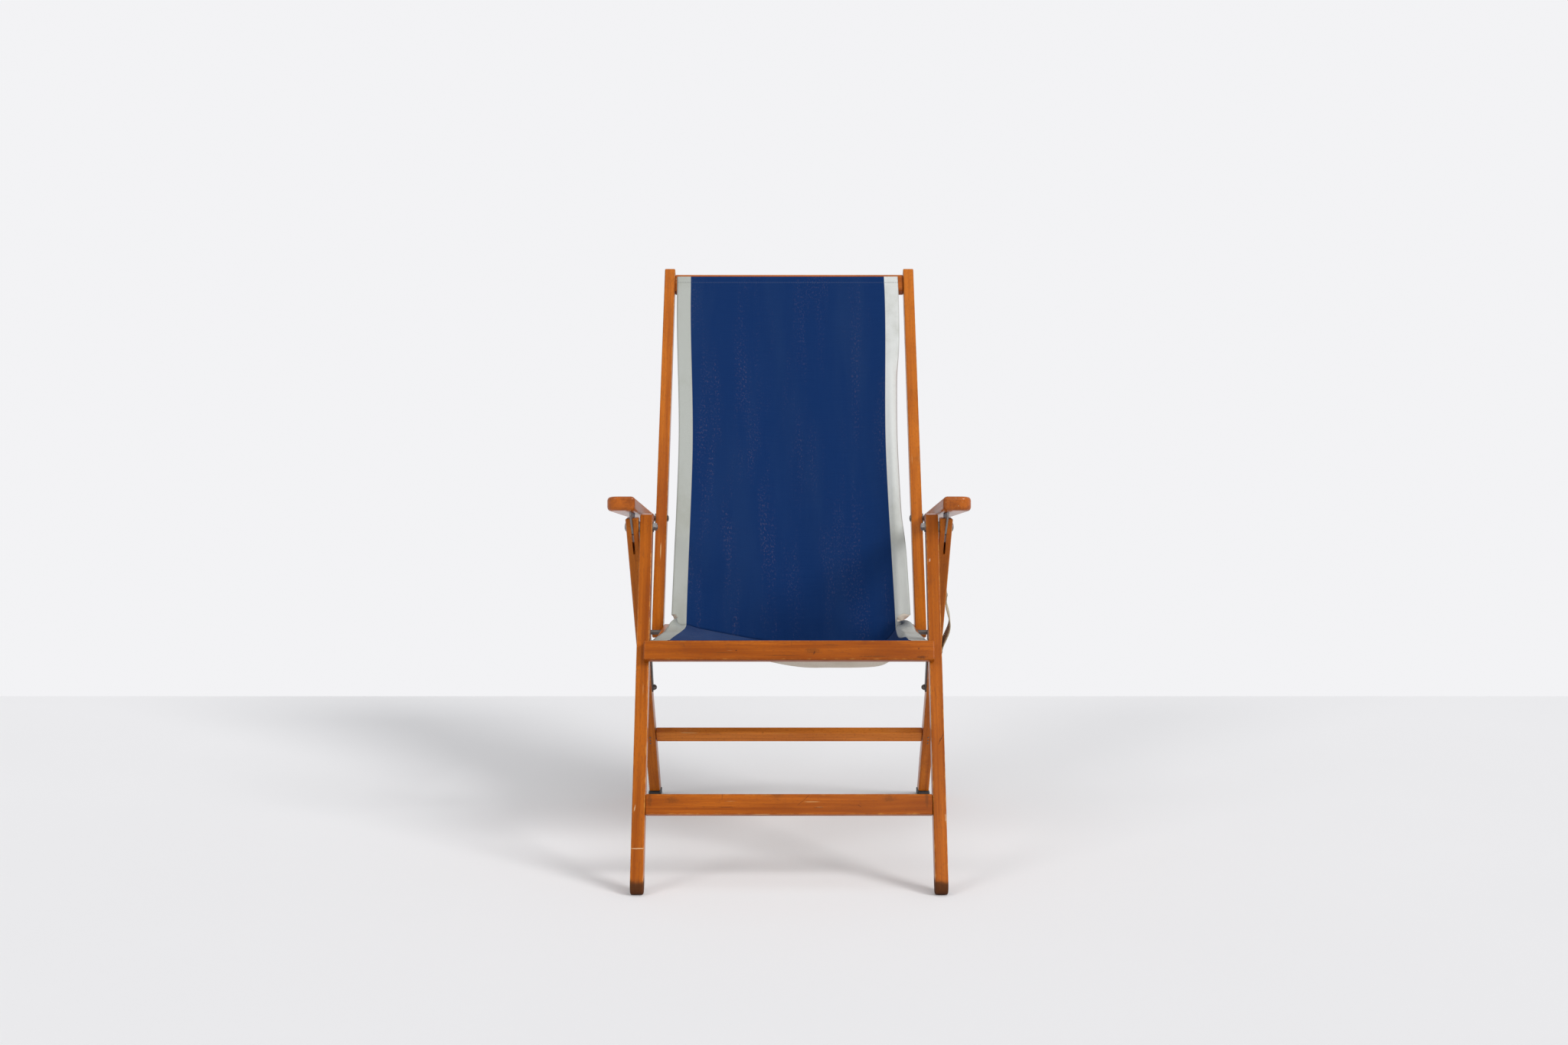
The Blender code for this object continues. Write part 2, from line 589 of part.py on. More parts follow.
def carry_strap(body):
    """Webbing strap that bulges from the outer face of the right rear leg, with its two screws."""
    upper = rear_leg_point_at_height(STRAP_UPPER_HEIGHT)
    lower = rear_leg_point_at_height(STRAP_LOWER_HEIGHT)
    span = (lower - upper).length
    face = TOUCH_GAP
    flat = STRAP_SCREW_RADIUS + STRAP_SCREW_MARGIN
    inner = [Vector((face, -STRAP_TAB))]
    for step in range(STRAP_STEPS + 1):
        share = step / STRAP_STEPS
        rise = STRAP_BULGE * math.sin(math.pi * share) ** 2
        inner.append(Vector((face + rise, flat + (span - 2 * flat) * share)))
    inner.append(Vector((face, span + STRAP_TAB)))
    outer = offset_line(inner, STRAP_THICKNESS)
    mesh = outline_mesh(inner + list(reversed(outer)), STRAP_WIDTH)
    strap = add_piece("carry_strap", mesh)
    tilt = math.atan2(REAR_LEG_DOWN.y, REAR_LEG_DOWN.x)
    strap.rotation_euler = Euler((tilt, 0.0, 0.0))
    strap.location = world(REAR_LEG_OUTER, upper)
    strap_face = REAR_LEG_OUTER + STRAP_THICKNESS + HOLE_REACH
    for name, place in (("strap_screw_upper", upper), ("strap_screw_lower", lower)):
        drill(strap, STRAP_SHANK_RADIUS, REAR_LEG_OUTER, strap_face, 1, place)
        seat = STRAP_SHANK_LENGTH + STRAP_THICKNESS + 2 * TOUCH_GAP
        profile = dome(STRAP_SCREW_RADIUS, seat, STRAP_SCREW_HEAD)
        profile += [(STRAP_SHANK_RADIUS, seat), (STRAP_SHANK_RADIUS, 0.0), (0.0, 0.0)]
        screw = turned(name, profile, REAR_LEG_OUTER - STRAP_SHANK_LENGTH, 1, place, 16)
        body.carry(screw, STEEL)
    body.carry(strap, WEBBING)


def offset_line(points, distance):
    """Line beside another, on its outward side."""
    moved = []
    for index, point in enumerate(points):
        before = points[max(index - 1, 0)]
        after = points[min(index + 1, len(points) - 1)]
        along = (after - before).normalized()
        moved.append(point + Vector((along.y, -along.x)) * distance)
    return moved


def armrests(body):
    """Two arm rests: the side view of each is cut to its plan, wider at the front."""
    slope = Vector((1.0, -ARM_DROP)).normalized()
    above = Vector((-slope.y, slope.x))
    front_top = Vector((ARM_FRONT_DEPTH, ARM_FRONT_TOP))
    nose_low = front_top - Vector((0.0, ARM_NOSE_FACE))
    under_pivot = LEG_PIVOT + Vector((0.0, ARM_UNDERSIDE_AT_PIVOT))
    start = angle_of(above)
    rear_end = arc(ARM_PIVOT, ARM_END_RADIUS, start, start - 180.0)
    underside = (under_pivot - rear_end[-1]).normalized()
    reach = (nose_low.x + ARM_NOSE_UNDERCUT - under_pivot.x) / underside.x
    under_front = under_pivot + underside * reach
    outline = [front_top] + rear_end + [under_front, nose_low]
    for side in (-1, 1):
        name = "armrest_" + side_name(side)
        middle = side * (REAR_LEG_INNER + ARM_WIDTH_FRONT / 2)
        arm = board(name, outline, LEG_PIVOT, middle, ARM_WIDTH_FRONT, 0.0)
        plan = add_piece(name + "_plan", outline_mesh(arm_plan(side), ARM_PIVOT_HEIGHT / 2), CUTTERS)
        plan.location = Vector((side * REAR_LEG_INNER, -DEPTH_MIDDLE, ARM_PIVOT_HEIGHT))
        cut(arm, plan, "INTERSECT")
        add_bevel(arm, ARM_EDGE, 3)
        body.carry(arm, BEECH)


def arm_plan(side):
    """Plan of an arm, from its straight inner face, as (across, depth)."""
    reach = CUT_REACH
    rear = ARM_PIVOT_DEPTH + ARM_END_RADIUS + reach
    width_slope = (ARM_WIDTH_FRONT - ARM_WIDTH_REAR) / (ARM_PIVOT_DEPTH - ARM_FRONT_DEPTH)
    width_rear = ARM_WIDTH_REAR - width_slope * (rear - ARM_PIVOT_DEPTH)
    corner = Vector((ARM_WIDTH_FRONT - ARM_CORNER, ARM_FRONT_DEPTH + ARM_CORNER))
    lean = math.degrees(math.atan(width_slope))
    points = [Vector((0.0, ARM_FRONT_DEPTH))] + arc(corner, ARM_CORNER, -90.0, lean)
    points += [Vector((width_rear, rear)), Vector((0.0, rear))]
    return [Vector((side * point.x, point.y)) for point in points]


def hinge_plates(body):
    """Steel plates under the arms, each with its eye on the leg pivot."""
    rear_under = ARM_PIVOT - Vector((0.0, ARM_END_RADIUS))
    under_pivot = LEG_PIVOT + Vector((0.0, ARM_UNDERSIDE_AT_PIVOT))
    along = (rear_under - under_pivot).normalized()
    above = Vector((-along.y, along.x))
    under_pivot = under_pivot - above * TOUCH_GAP
    top_front = under_pivot - along * PLATE_FORWARD
    top_rear = under_pivot + along * PLATE_REARWARD
    lip = above * PLATE_LIP
    outline = [top_rear, top_front, top_front - lip]
    outline += arc(LEG_PIVOT, PLATE_EYE_RADIUS, *PLATE_EYE_ARC)
    for side in (-1, 1):
        name = "arm_hinge_plate_" + side_name(side)
        plate = board(name, outline, LEG_PIVOT, side * REAR_LEG_MIDDLE, PLATE_THICKNESS, 0.0)
        drill(plate, LEG_BOLT_RADIUS, REAR_LEG_INNER, REAR_LEG_OUTER, side, LEG_PIVOT)
        body.carry(plate, STEEL)


def stiles(body):
    """Two reclined posts of the back, rounded about their lower pivot and cut square at the top."""
    across = STILE_FRONT * STILE_DEPTH / 2
    start = angle_of(across)
    outline = arc(BACK_PIVOT, STILE_DEPTH / 2, start, start + 180.0)
    outline += [STILE_TOP - across, STILE_TOP + across]
    for side in (-1, 1):
        stile = board("back_post_" + side_name(side), outline, BACK_PIVOT, side * POST_MIDDLE, POST_THICKNESS)
        drill(stile, SMALL_BOLT_RADIUS, POST_INNER, POST_OUTER, side, BACK_PIVOT)
        drill(stile, SMALL_BOLT_RADIUS, POST_INNER, POST_OUTER, side, ARM_PIVOT)
        body.carry(stile, BEECH)
        name = "arm_bolt_" + side_name(side)
        inner_bolt(name, side, ARM_PIVOT, POST_INNER, REAR_LEG_INNER - TOUCH_GAP, STEEL, body)
        body.carry(washer("arm_washer_" + side_name(side), SMALL_BOLT_RADIUS, side, ARM_PIVOT), STEEL)


def top_rail(body):
    """Rail between the stiles at their top, which holds the sling's upper end."""
    centre = STILE_TOP - STILE_UP * TOP_RAIL_DROP
    length = 2 * (POST_INNER - TOUCH_GAP)
    body.carry(cross_rail("top_rail", length, STILE_UP, TOP_RAIL_HEIGHT, TOP_RAIL_THICKNESS, centre), BEECH)


def seat_bars(body):
    """Side bars of the seat with their rear cross rail, back pivots and stay bolts."""
    start = angle_of(SIDE_BAR_UP)
    radius = SIDE_BAR_DEPTH / 2
    outline = arc(SEAT_PIVOT, radius, start, start + 180.0) + arc(BACK_PIVOT, radius, start - 180.0, start)
    middle = (SIDE_BAR_INNER + SIDE_BAR_OUTER) / 2
    for side in (-1, 1):
        word = side_name(side)
        bar = board("seat_side_bar_" + word, outline, SEAT_PIVOT, side * middle, SIDE_BAR_THICKNESS)
        for place in (SEAT_PIVOT, STAY_BOLT, BACK_PIVOT):
            drill(bar, SMALL_BOLT_RADIUS, SIDE_BAR_INNER, SIDE_BAR_OUTER, side, place)
        body.carry(bar, BEECH)
        name = "back_pivot_bolt_" + word
        inner_bolt(name, side, BACK_PIVOT, SIDE_BAR_INNER, POST_OUTER - TOUCH_GAP, DARK_STEEL, body)
        body.carry(stay_bolt("stay_bolt_" + word, side), DARK_STEEL)
    height, depth = SEAT_REAR_RAIL_HEIGHT, SEAT_REAR_RAIL_DEPTH
    drop = SIDE_BAR_DEPTH / 2 + TOUCH_GAP + height / 2
    centre = BACK_PIVOT - SIDE_BAR_REAR * SEAT_REAR_RAIL_FROM_BACK - SIDE_BAR_UP * drop
    length = 2 * SIDE_BAR_OUTER
    body.carry(cross_rail("seat_rear_rail", length, SIDE_BAR_UP, height, depth, centre), BEECH)


def stay_bolt(name, side):
    """Shouldered rivet: head inside the side bar, shoulder up to the stay, end flush with the stay."""
    x_start = SIDE_BAR_INNER - TOUCH_GAP - SMALL_HEAD_HEIGHT
    shoulder = SIDE_BAR_OUTER + TOUCH_GAP - x_start
    stay_face = POST_OUTER - x_start
    end = POST_OUTER + TOUCH_GAP + STAY_THICKNESS - x_start
    head = [(radius, SMALL_HEAD_HEIGHT - along) for radius, along in
            reversed(dome(SMALL_HEAD_RADIUS, 0.0, SMALL_HEAD_HEIGHT))]
    profile = [(0.0, end), (SMALL_BOLT_RADIUS, end), (SMALL_BOLT_RADIUS, stay_face),
               (STAY_SHOULDER_RADIUS, stay_face), (STAY_SHOULDER_RADIUS, shoulder),
               (SMALL_BOLT_RADIUS, shoulder), (SMALL_BOLT_RADIUS, SMALL_HEAD_HEIGHT)] + head
    return turned(name, profile, x_start, side, STAY_BOLT)


def stays(body):
    """Flat steel stays with their domed nuts."""
    direction = (STAY_KNOB - STAY_BOLT).normalized()
    start = angle_of(direction)
    radius = STAY_WIDTH / 2
    outline = arc(STAY_KNOB, radius, start - 90.0, start + 90.0)
    outline += arc(STAY_BOLT, radius, start + 90.0, start + 270.0)
    x_inner = POST_OUTER + TOUCH_GAP
    for side in (-1, 1):
        word = side_name(side)
        x_middle = side * (x_inner + STAY_THICKNESS / 2)
        stay = board("stay_strap_" + word, outline, STAY_BOLT, x_middle, STAY_THICKNESS, 0.0)
        for place in (STAY_BOLT, STAY_KNOB):
            drill(stay, SMALL_BOLT_RADIUS, x_inner, x_inner + STAY_THICKNESS, side, place)
        body.carry(stay, DARK_STEEL)
        knob_face = x_inner - TOUCH_GAP
        x_start = knob_face - KNOB_HEIGHT
        end = REAR_LEG_INNER - TOUCH_GAP - x_start
        head = [(radius_at, KNOB_HEIGHT - along) for radius_at, along in
                reversed(dome(KNOB_RADIUS, 0.0, KNOB_HEIGHT, 6))]
        profile = [(0.0, end), (SMALL_BOLT_RADIUS, end), (SMALL_BOLT_RADIUS, KNOB_HEIGHT)] + head
        body.carry(turned("stay_knob_" + word, profile, x_start, side, STAY_KNOB), STEEL)


def sheet_piece(name, columns, rows, surface):
    """Cloth from a grid whose points follow a surface rule of (across -1..1, along 0..1)."""
    mesh = bpy.data.meshes.new(name)
    shape = bmesh.new()
    bmesh.ops.create_grid(shape, x_segments=columns, y_segments=rows, size=1.0)
    for vertex in shape.verts:
        vertex.co = surface(vertex.co.x, (vertex.co.y + 1.0) / 2.0)
    shape.to_mesh(mesh)
    shape.free()
    piece = add_piece(name, mesh)
    solidify = piece.modifiers.new("cloth", "SOLIDIFY")
    solidify.thickness = CANVAS_THICKNESS
    solidify.offset = 0.0
    solidify.use_even_offset = True
    mesh.polygons.foreach_set("use_smooth", [True] * len(mesh.polygons))
    return piece


def blend(first, second, share):
    """Value between two others, eased at both ends."""
    share = min(max(share, 0.0), 1.0)
    eased = share * share * (3.0 - 2.0 * share)
    return first + (second - first) * eased


def rail_top(share):
    """Place of the sling over the front rail's upper face, from its front edge (0) to its rear edge (1)."""
    offset = FRONT_LEG_DEPTH / 2 + TOUCH_GAP + FRONT_RAIL_THICKNESS * (1.0 - share)
    lift = CANVAS_CLEARANCE + CANVAS_THICKNESS / 2
    return leg_point(FRONT_RAIL_TOP + lift) - FRONT_LEG_REAR * offset


def crease_point():
    """Lowest part of the sling's crease, in front of the seat's rear rail."""
    return BACK_PIVOT - SIDE_BAR_REAR * CANVAS_CREASE_FROM_BACK - SIDE_BAR_UP * CANVAS_CREASE_DROP


def side_bar_lift():
    """Height of the canvas's middle above the side bar's middle line where it lies on the bar."""
    return SIDE_BAR_DEPTH / 2 + 2 * CANVAS_CLEARANCE + CANVAS_THICKNESS / 2


def falloff(distance, reach):
    """Smooth fall from 1 at no distance towards 0 beyond the reach."""
    return math.exp(-(distance / reach) ** 2)


def side_share(x):
    """Share of the free hang: 1 on the sling's lowest line, 0 from just inside the side bars on."""
    side = SIDE_BAR_INNER - CANVAS_BAR_MARGIN
    if x < CANVAS_SAG_OFFSET:
        reach = (CANVAS_SAG_OFFSET - x) / (CANVAS_SAG_OFFSET + side)
        return blend(1.0, 0.0, reach) ** CANVAS_SAG_RISE_LEFT
    reach = (x - CANVAS_SAG_OFFSET) / (side - CANVAS_SAG_OFFSET)
    return 1.0 - min(reach, 1.0) ** CANVAS_SAG_RISE_RIGHT


def corner_bunch(across, along, near_crease):
    """Height of the bunched folds at the rear corners of the seat."""
    corner = falloff(1.0 - abs(across), CANVAS_CORNER_REACH) * near_crease
    wave = math.sin(across * CANVAS_CORNER_WAVES + along * CANVAS_CORNER_SLANT)
    return CANVAS_CORNER_FOLD * corner * (0.5 + 0.5 * wave)


def seat_surface(across, along):
    """Seat part of the sling: tight over the rail and the side bars, sagging between them."""
    half_width = blend(CANVAS_HALF_WIDTH_FRONT, CANVAS_HALF_WIDTH_CREASE, along)
    x = across * half_width + CANVAS_SHIFT_CREASE * along
    if along < SEAT_ROW_SHARE / 2:
        start = rail_top(CANVAS_START)
        return Vector((x, start.x - DEPTH_MIDDLE, start.y))
    span = (along - SEAT_ROW_SHARE) / (1.0 - SEAT_ROW_SHARE)
    front, crease = rail_top(1.0), crease_point()
    depth = front.x + (crease.x - CANVAS_CREASE_GAP - front.x) * span
    edge_height = front.y + (crease_side_height() - front.y) * span
    sag = CANVAS_SEAT_SAG * 4.0 * span * (1.0 - span)
    middle_height = front.y + (crease.y - front.y) * span - sag
    share = side_share(x)
    near_crease = falloff(1.0 - span, CANVAS_FOLD_REACH)
    wave = math.sin(span * CANVAS_FOLD_WAVES + across * CANVAS_FOLD_SLANT)
    fold = CANVAS_FOLD_DEPTH * wave * near_crease * share * (1.0 - span) * 4.0
    bunch = corner_bunch(across, span, near_crease)
    height = edge_height + (middle_height - edge_height) * share + fold + bunch
    return Vector((x, depth - DEPTH_MIDDLE, height))


def crease_side_height():
    """Height of the crease where the canvas lies on the side bars."""
    bar = BACK_PIVOT - SIDE_BAR_REAR * CANVAS_CREASE_FROM_BACK
    return bar.y + side_bar_lift() / SIDE_BAR_UP.y


def back_path(along, crease_height):
    """Side view of the back part of the sling, from the crease up to its end on the top rail's front face."""
    lift = TOP_RAIL_THICKNESS / 2 + CANVAS_CLEARANCE + CANVAS_THICKNESS / 2
    rail_middle = STILE_TOP - STILE_UP * TOP_RAIL_DROP
    foot = Vector((crease_point().x + CANVAS_CREASE_GAP, crease_height))
    rail_foot = rail_middle - STILE_UP * TOP_RAIL_HEIGHT / 2 + STILE_FRONT * lift
    end = rail_middle + STILE_UP * (TOP_RAIL_HEIGHT / 2 - CANVAS_TOP_MARGIN) + STILE_FRONT * lift
    if along <= BACK_PANEL_SHARE:
        return foot.lerp(rail_foot, along / BACK_PANEL_SHARE)
    return rail_foot.lerp(end, (along - BACK_PANEL_SHARE) / (1.0 - BACK_PANEL_SHARE))


def back_surface(across, along):
    """Back part of the sling: slightly hollow between the crease and the top rail."""
    lower, upper = CANVAS_HALF_WIDTH_CREASE, CANVAS_HALF_WIDTH_TOP
    middle = BACK_PANEL_SHARE / 2
    if along < middle:
        half_width = blend(lower, CANVAS_HALF_WIDTH_MIDDLE, along / middle)
    else:
        half_width = blend(CANVAS_HALF_WIDTH_MIDDLE, upper, (along - middle) / middle)
    x = across * half_width + CANVAS_SHIFT_CREASE + (CANVAS_SHIFT_TOP - CANVAS_SHIFT_CREASE) * along
    side_height = crease_side_height()
    crease_height = side_height + (crease_point().y - side_height) * side_share(x)
    bunch = corner_bunch(across, 1.0, falloff(along, CANVAS_BACK_REACH))
    place = back_path(along, crease_height + bunch)
    free = math.sin(math.pi * min(along / BACK_PANEL_SHARE, 1.0))
    hollow = free * (1.0 - across * across)
    wave = math.sin(across * CANVAS_RIPPLE_WAVES + along * CANVAS_RIPPLE_SLANT)
    ripple = CANVAS_RIPPLE * wave * free
    place = place - STILE_FRONT * (CANVAS_BACK_SAG * hollow + ripple)
    return Vector((x, place.x - DEPTH_MIDDLE, place.y))


def canvas(seat_body, back_body):
    """The two halves of the sling, which meet at the crease."""
    seat = sheet_piece("canvas_seat", SEAT_COLUMNS, SEAT_ROWS, seat_surface)
    seat_body.carry(seat, CANVAS_BLUE)
    back = sheet_piece("canvas_back", BACK_COLUMNS, BACK_ROWS, back_surface)
    back_body.carry(back, CANVAS_BLUE)


def main():
    """Build every piece of the chair."""
    frame = Body("front_frame", LEG_PIVOT)
    front_legs(frame)
    front_rails(frame)
    leg_pivots(frame)
    seat_pivots(frame)
    rear = Body("rear_frame", LEG_PIVOT)
    rear_legs(rear)
    rear_stretcher(rear)
    rear_feet(rear)
    carry_strap(rear)
    arms = Body("arms", LEG_PIVOT)
    armrests(arms)
    hinge_plates(arms)
    back = Body("back", BACK_PIVOT)
    stiles(back)
    top_rail(back)
    seat = Body("seat", SEAT_PIVOT)
    seat_bars(seat)
    links = Body("stays", STAY_BOLT)
    stays(links)
    canvas(seat, back)


for leftover in list(bpy.data.objects):
    bpy.data.objects.remove(leftover)
PARTS = new_collection("folding_sling_chair")
CUTTERS = new_collection("cutters")
main()
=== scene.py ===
"""Looks of the folding sling chair: worn varnished beech, a faded striped sling and steel fittings.

Every size is in metres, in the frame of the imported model: +Z is up and the chair faces -Y.
"""
from __future__ import annotations

import json
import logging
import math
import random
from collections.abc import Callable, Iterable
from dataclasses import dataclass, field
from enum import Enum
from itertools import accumulate
from typing import Union

import bmesh
import bpy
from mathutils import Matrix, Vector, noise

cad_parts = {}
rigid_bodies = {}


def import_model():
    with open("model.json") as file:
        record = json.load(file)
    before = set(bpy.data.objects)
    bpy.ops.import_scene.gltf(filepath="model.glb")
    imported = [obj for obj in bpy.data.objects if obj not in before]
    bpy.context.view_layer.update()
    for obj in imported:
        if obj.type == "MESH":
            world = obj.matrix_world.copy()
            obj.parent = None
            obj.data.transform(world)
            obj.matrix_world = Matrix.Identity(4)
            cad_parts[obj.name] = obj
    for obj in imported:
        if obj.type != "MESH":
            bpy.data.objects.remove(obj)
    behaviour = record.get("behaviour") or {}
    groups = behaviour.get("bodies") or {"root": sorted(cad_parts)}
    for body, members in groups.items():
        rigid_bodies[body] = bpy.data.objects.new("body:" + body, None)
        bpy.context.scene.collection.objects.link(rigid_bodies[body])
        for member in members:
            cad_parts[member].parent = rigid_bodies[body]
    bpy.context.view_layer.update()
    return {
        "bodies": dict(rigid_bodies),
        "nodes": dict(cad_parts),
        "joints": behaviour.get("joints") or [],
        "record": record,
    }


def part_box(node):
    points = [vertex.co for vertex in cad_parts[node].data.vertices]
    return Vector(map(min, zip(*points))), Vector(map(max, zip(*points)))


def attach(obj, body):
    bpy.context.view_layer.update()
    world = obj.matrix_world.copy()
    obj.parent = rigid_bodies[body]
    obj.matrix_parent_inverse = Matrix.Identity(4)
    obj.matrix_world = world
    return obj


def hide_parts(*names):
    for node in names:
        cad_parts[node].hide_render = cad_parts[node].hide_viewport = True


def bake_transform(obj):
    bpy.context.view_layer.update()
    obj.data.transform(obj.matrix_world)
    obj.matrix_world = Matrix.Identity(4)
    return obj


Triple = tuple[float, float, float]
Colour = Triple
Socket = bpy.types.NodeSocket
Value = Union[Socket, float, Triple]
Rule = Callable[[float, float], Vector]

LOG = logging.getLogger("sling_chair")
ACROSS = Vector((1.0, 0.0, 0.0))
FLAT_MAP = "flat"
CLOTH_HALF_WIDTH = 0.2290
LENGTH_STEPS = 200
STRAP_CELLS = (10, 56)
MERGE_DISTANCE = 0.00001
FACE_WEIGHT = 80
GRAIN_SPREAD = (3, 3, 9)
MARK_FRAY = 1.6
MARK_EDGE = (1.90, 1.10)


class Side(Enum):
    """The two sides of the chair, as a viewer in front of it names them."""

    LEFT = -1
    RIGHT = 1

    @property
    def word(self) -> str:
        """Name used in the pieces' names."""
        return self.name.lower()


class Attribute(Enum):
    """Point attributes that the materials read."""

    GRAIN = "grain"
    SECTION = "section"


@dataclass(frozen=True)
class Nodes:
    """Short way to add and join shader nodes in one tree."""

    tree: bpy.types.NodeTree

    def add(self, kind: str, **settings: object) -> bpy.types.Node:
        """Add a node.

        Args:
            kind: Blender's name of the node type, without its ShaderNode prefix.
            settings: Properties to set on the node.

        Returns:
            The new node.
        """
        node = self.tree.nodes.new("ShaderNode" + kind)
        for key, value in settings.items():
            setattr(node, key, value)
        return node

    def feed(self, socket: Socket, value: Value) -> None:
        """Join an output to a socket, or set the socket's own value.

        Args:
            socket: Input to feed.
            value: An output, a number, a vector, or a colour without its opacity.
        """
        if isinstance(value, Socket):
            self.tree.links.new(value, socket)
        else:
            socket.default_value = (*value, 1.0) if socket.type == "RGBA" else value

    def fill(self, node: bpy.types.Node, values: dict[str, Value]) -> None:
        """Feed a node's inputs by their names."""
        for name, value in values.items():
            self.feed(node.inputs[name], value)

    def math(self, operation: str, *values: Value, clamp: bool = False) -> Socket:
        """Add a Math node.

        Args:
            operation: Blender's name of the operation.
            values: What its inputs get, in order.
            clamp: Keep the result between 0 and 1.

        Returns:
            The result.
        """
        node = self.add("Math", operation=operation, use_clamp=clamp)
        for socket, value in zip(node.inputs, values):
            self.feed(socket, value)
        return node.outputs[0]

    def plus(self, first: Value, second: Value, clamp: bool = False) -> Socket:
        """Sum of two values."""
        return self.math("ADD", first, second, clamp=clamp)

    def minus(self, first: Value, second: Value, clamp: bool = False) -> Socket:
        """First value less the second."""
        return self.math("SUBTRACT", first, second, clamp=clamp)

    def times(self, first: Value, second: Value, clamp: bool = False) -> Socket:
        """Product of two values."""
        return self.math("MULTIPLY", first, second, clamp=clamp)

    def scaled(self, value: Value, scale: float, offset: float) -> Socket:
        """Value times a scale, plus an offset."""
        return self.math("MULTIPLY_ADD", value, scale, offset)

    def size(self, value: Value) -> Socket:
        """Value without its sign."""
        return self.math("ABSOLUTE", value)

    def ramp(self, value: Value, low: float, high: float, top: float = 1.0) -> Socket:
        """Smooth step of a value.

        Args:
            value: What is stepped.
            low: Where the step starts, which may be above where it ends.
            high: Where the step ends.
            top: Result past the end.

        Returns:
            The step, from 0 to top.
        """
        node = self.add("MapRange", interpolation_type="SMOOTHSTEP")
        self.fill(node, {"Value": value, "From Min": low, "From Max": high, "To Max": top})
        return node.outputs["Result"]

    def mix(self, share: Value, first: Value, second: Value) -> Socket:
        """Mix two colours.

        Args:
            share: Share of the second colour.
            first: First colour.
            second: Second colour.

        Returns:
            The mixed colour.
        """
        node = self.add("Mix", data_type="RGBA")
        share_at, first_at, second_at, result_at = 0, 6, 7, 2
        for index, value in ((share_at, share), (first_at, first), (second_at, second)):
            self.feed(node.inputs[index], value)
        return node.outputs[result_at]

    def noise(
        self, vector: Value, scale: float, detail: float = 2.0, roughness: float = 0.5
    ) -> Socket:
        """Add a noise pattern.

        Args:
            vector: Where it is read.
            scale: Its fineness.
            detail: Number of finer layers.
            roughness: Strength of each finer layer.

        Returns:
            The pattern's value, from 0 to 1.
        """
        node = self.add("TexNoise")
        self.fill(node, {"Vector": vector, "Scale": scale})
        self.fill(node, {"Detail": detail, "Roughness": roughness})
        return node.outputs["Fac"]

    def drawn(
        self,
        vector: Value,
        scale: Triple,
        detail: float = 2.0,
        roughness: float = 0.5,
        shift: Triple = (0.0, 0.0, 0.0),
    ) -> Socket:
        """Add a noise pattern that is drawn out along some axes.

        Args:
            vector: Where it is read.
            scale: Its fineness along each axis.
            detail: Number of finer layers.
            roughness: Strength of each finer layer.
            shift: Where in the endless pattern it starts.

        Returns:
            The pattern's value, from 0 to 1.
        """
        node = self.add("Mapping")
        self.fill(node, {"Vector": vector, "Scale": scale, "Location": shift})
        return self.noise(node.outputs["Vector"], 1.0, detail, roughness)

    def parts(self, vector: Value) -> tuple[Socket, ...]:
        """Take a vector apart.

        Args:
            vector: The vector.

        Returns:
            Its three parts.
        """
        node = self.add("SeparateXYZ")
        self.feed(node.inputs[0], vector)
        return tuple(node.outputs)

    def bump(self, height: Value, distance: float, strength: float) -> Socket:
        """Bend the normal by a height.

        Args:
            height: Height of the surface, from 0 to about 1.
            distance: What a height of 1 stands for.
            strength: Share of the bend.

        Returns:
            The bent normal.
        """
        node = self.add("Bump")
        self.fill(node, {"Height": height, "Distance": distance, "Strength": strength})
        return node.outputs["Normal"]

    def object_place(self) -> Socket:
        """Place in the object's own axes."""
        return self.add("TexCoord").outputs["Object"]

    def flat_place(self) -> Socket:
        """Place on the flat cloth, in metres."""
        return self.add("UVMap", uv_map=FLAT_MAP).outputs["UV"]


def material_new(name: str) -> tuple[bpy.types.Material, Nodes, bpy.types.Node]:
    """Add an empty node material.

    Args:
        name: Name of the material.

    Returns:
        The material, its nodes and its Principled shader.
    """
    material = bpy.data.materials.new(name)
    material.use_nodes = True
    return material, Nodes(material.node_tree), material.node_tree.nodes["Principled BSDF"]


def group_new(
    name: str, inputs: dict[str, str], outputs: dict[str, str]
) -> tuple[Nodes, dict[str, Socket], dict[str, Socket]]:
    """Start a shader node group with named sockets.

    Args:
        name: Name of the group.
        inputs: Socket kinds by name: Float, Vector or Color.
        outputs: The same for the results.

    Returns:
        The group's nodes, its input sockets by name, and its result sockets by name.
    """
    tree = bpy.data.node_groups.new(name, "ShaderNodeTree")
    for in_out, sockets in (("INPUT", inputs), ("OUTPUT", outputs)):
        for label, kind in sockets.items():
            tree.interface.new_socket(name=label, in_out=in_out, socket_type="NodeSocket" + kind)
    start = tree.nodes.new("NodeGroupInput").outputs
    end = tree.nodes.new("NodeGroupOutput").inputs
    return Nodes(tree), {key: start[key] for key in inputs}, {key: end[key] for key in outputs}


def group_use(nodes: Nodes, name: str, **values: Value) -> bpy.types.NodeOutputs:
    """Place a shader node group in a material.

    Args:
        nodes: The material's nodes.
        name: Name of the group.
        values: Values or outputs for its inputs.

    Returns:
        The placed group's outputs.
    """
    node = nodes.add("Group", node_tree=bpy.data.node_groups[name])
    nodes.fill(node, values)
    return node.outputs


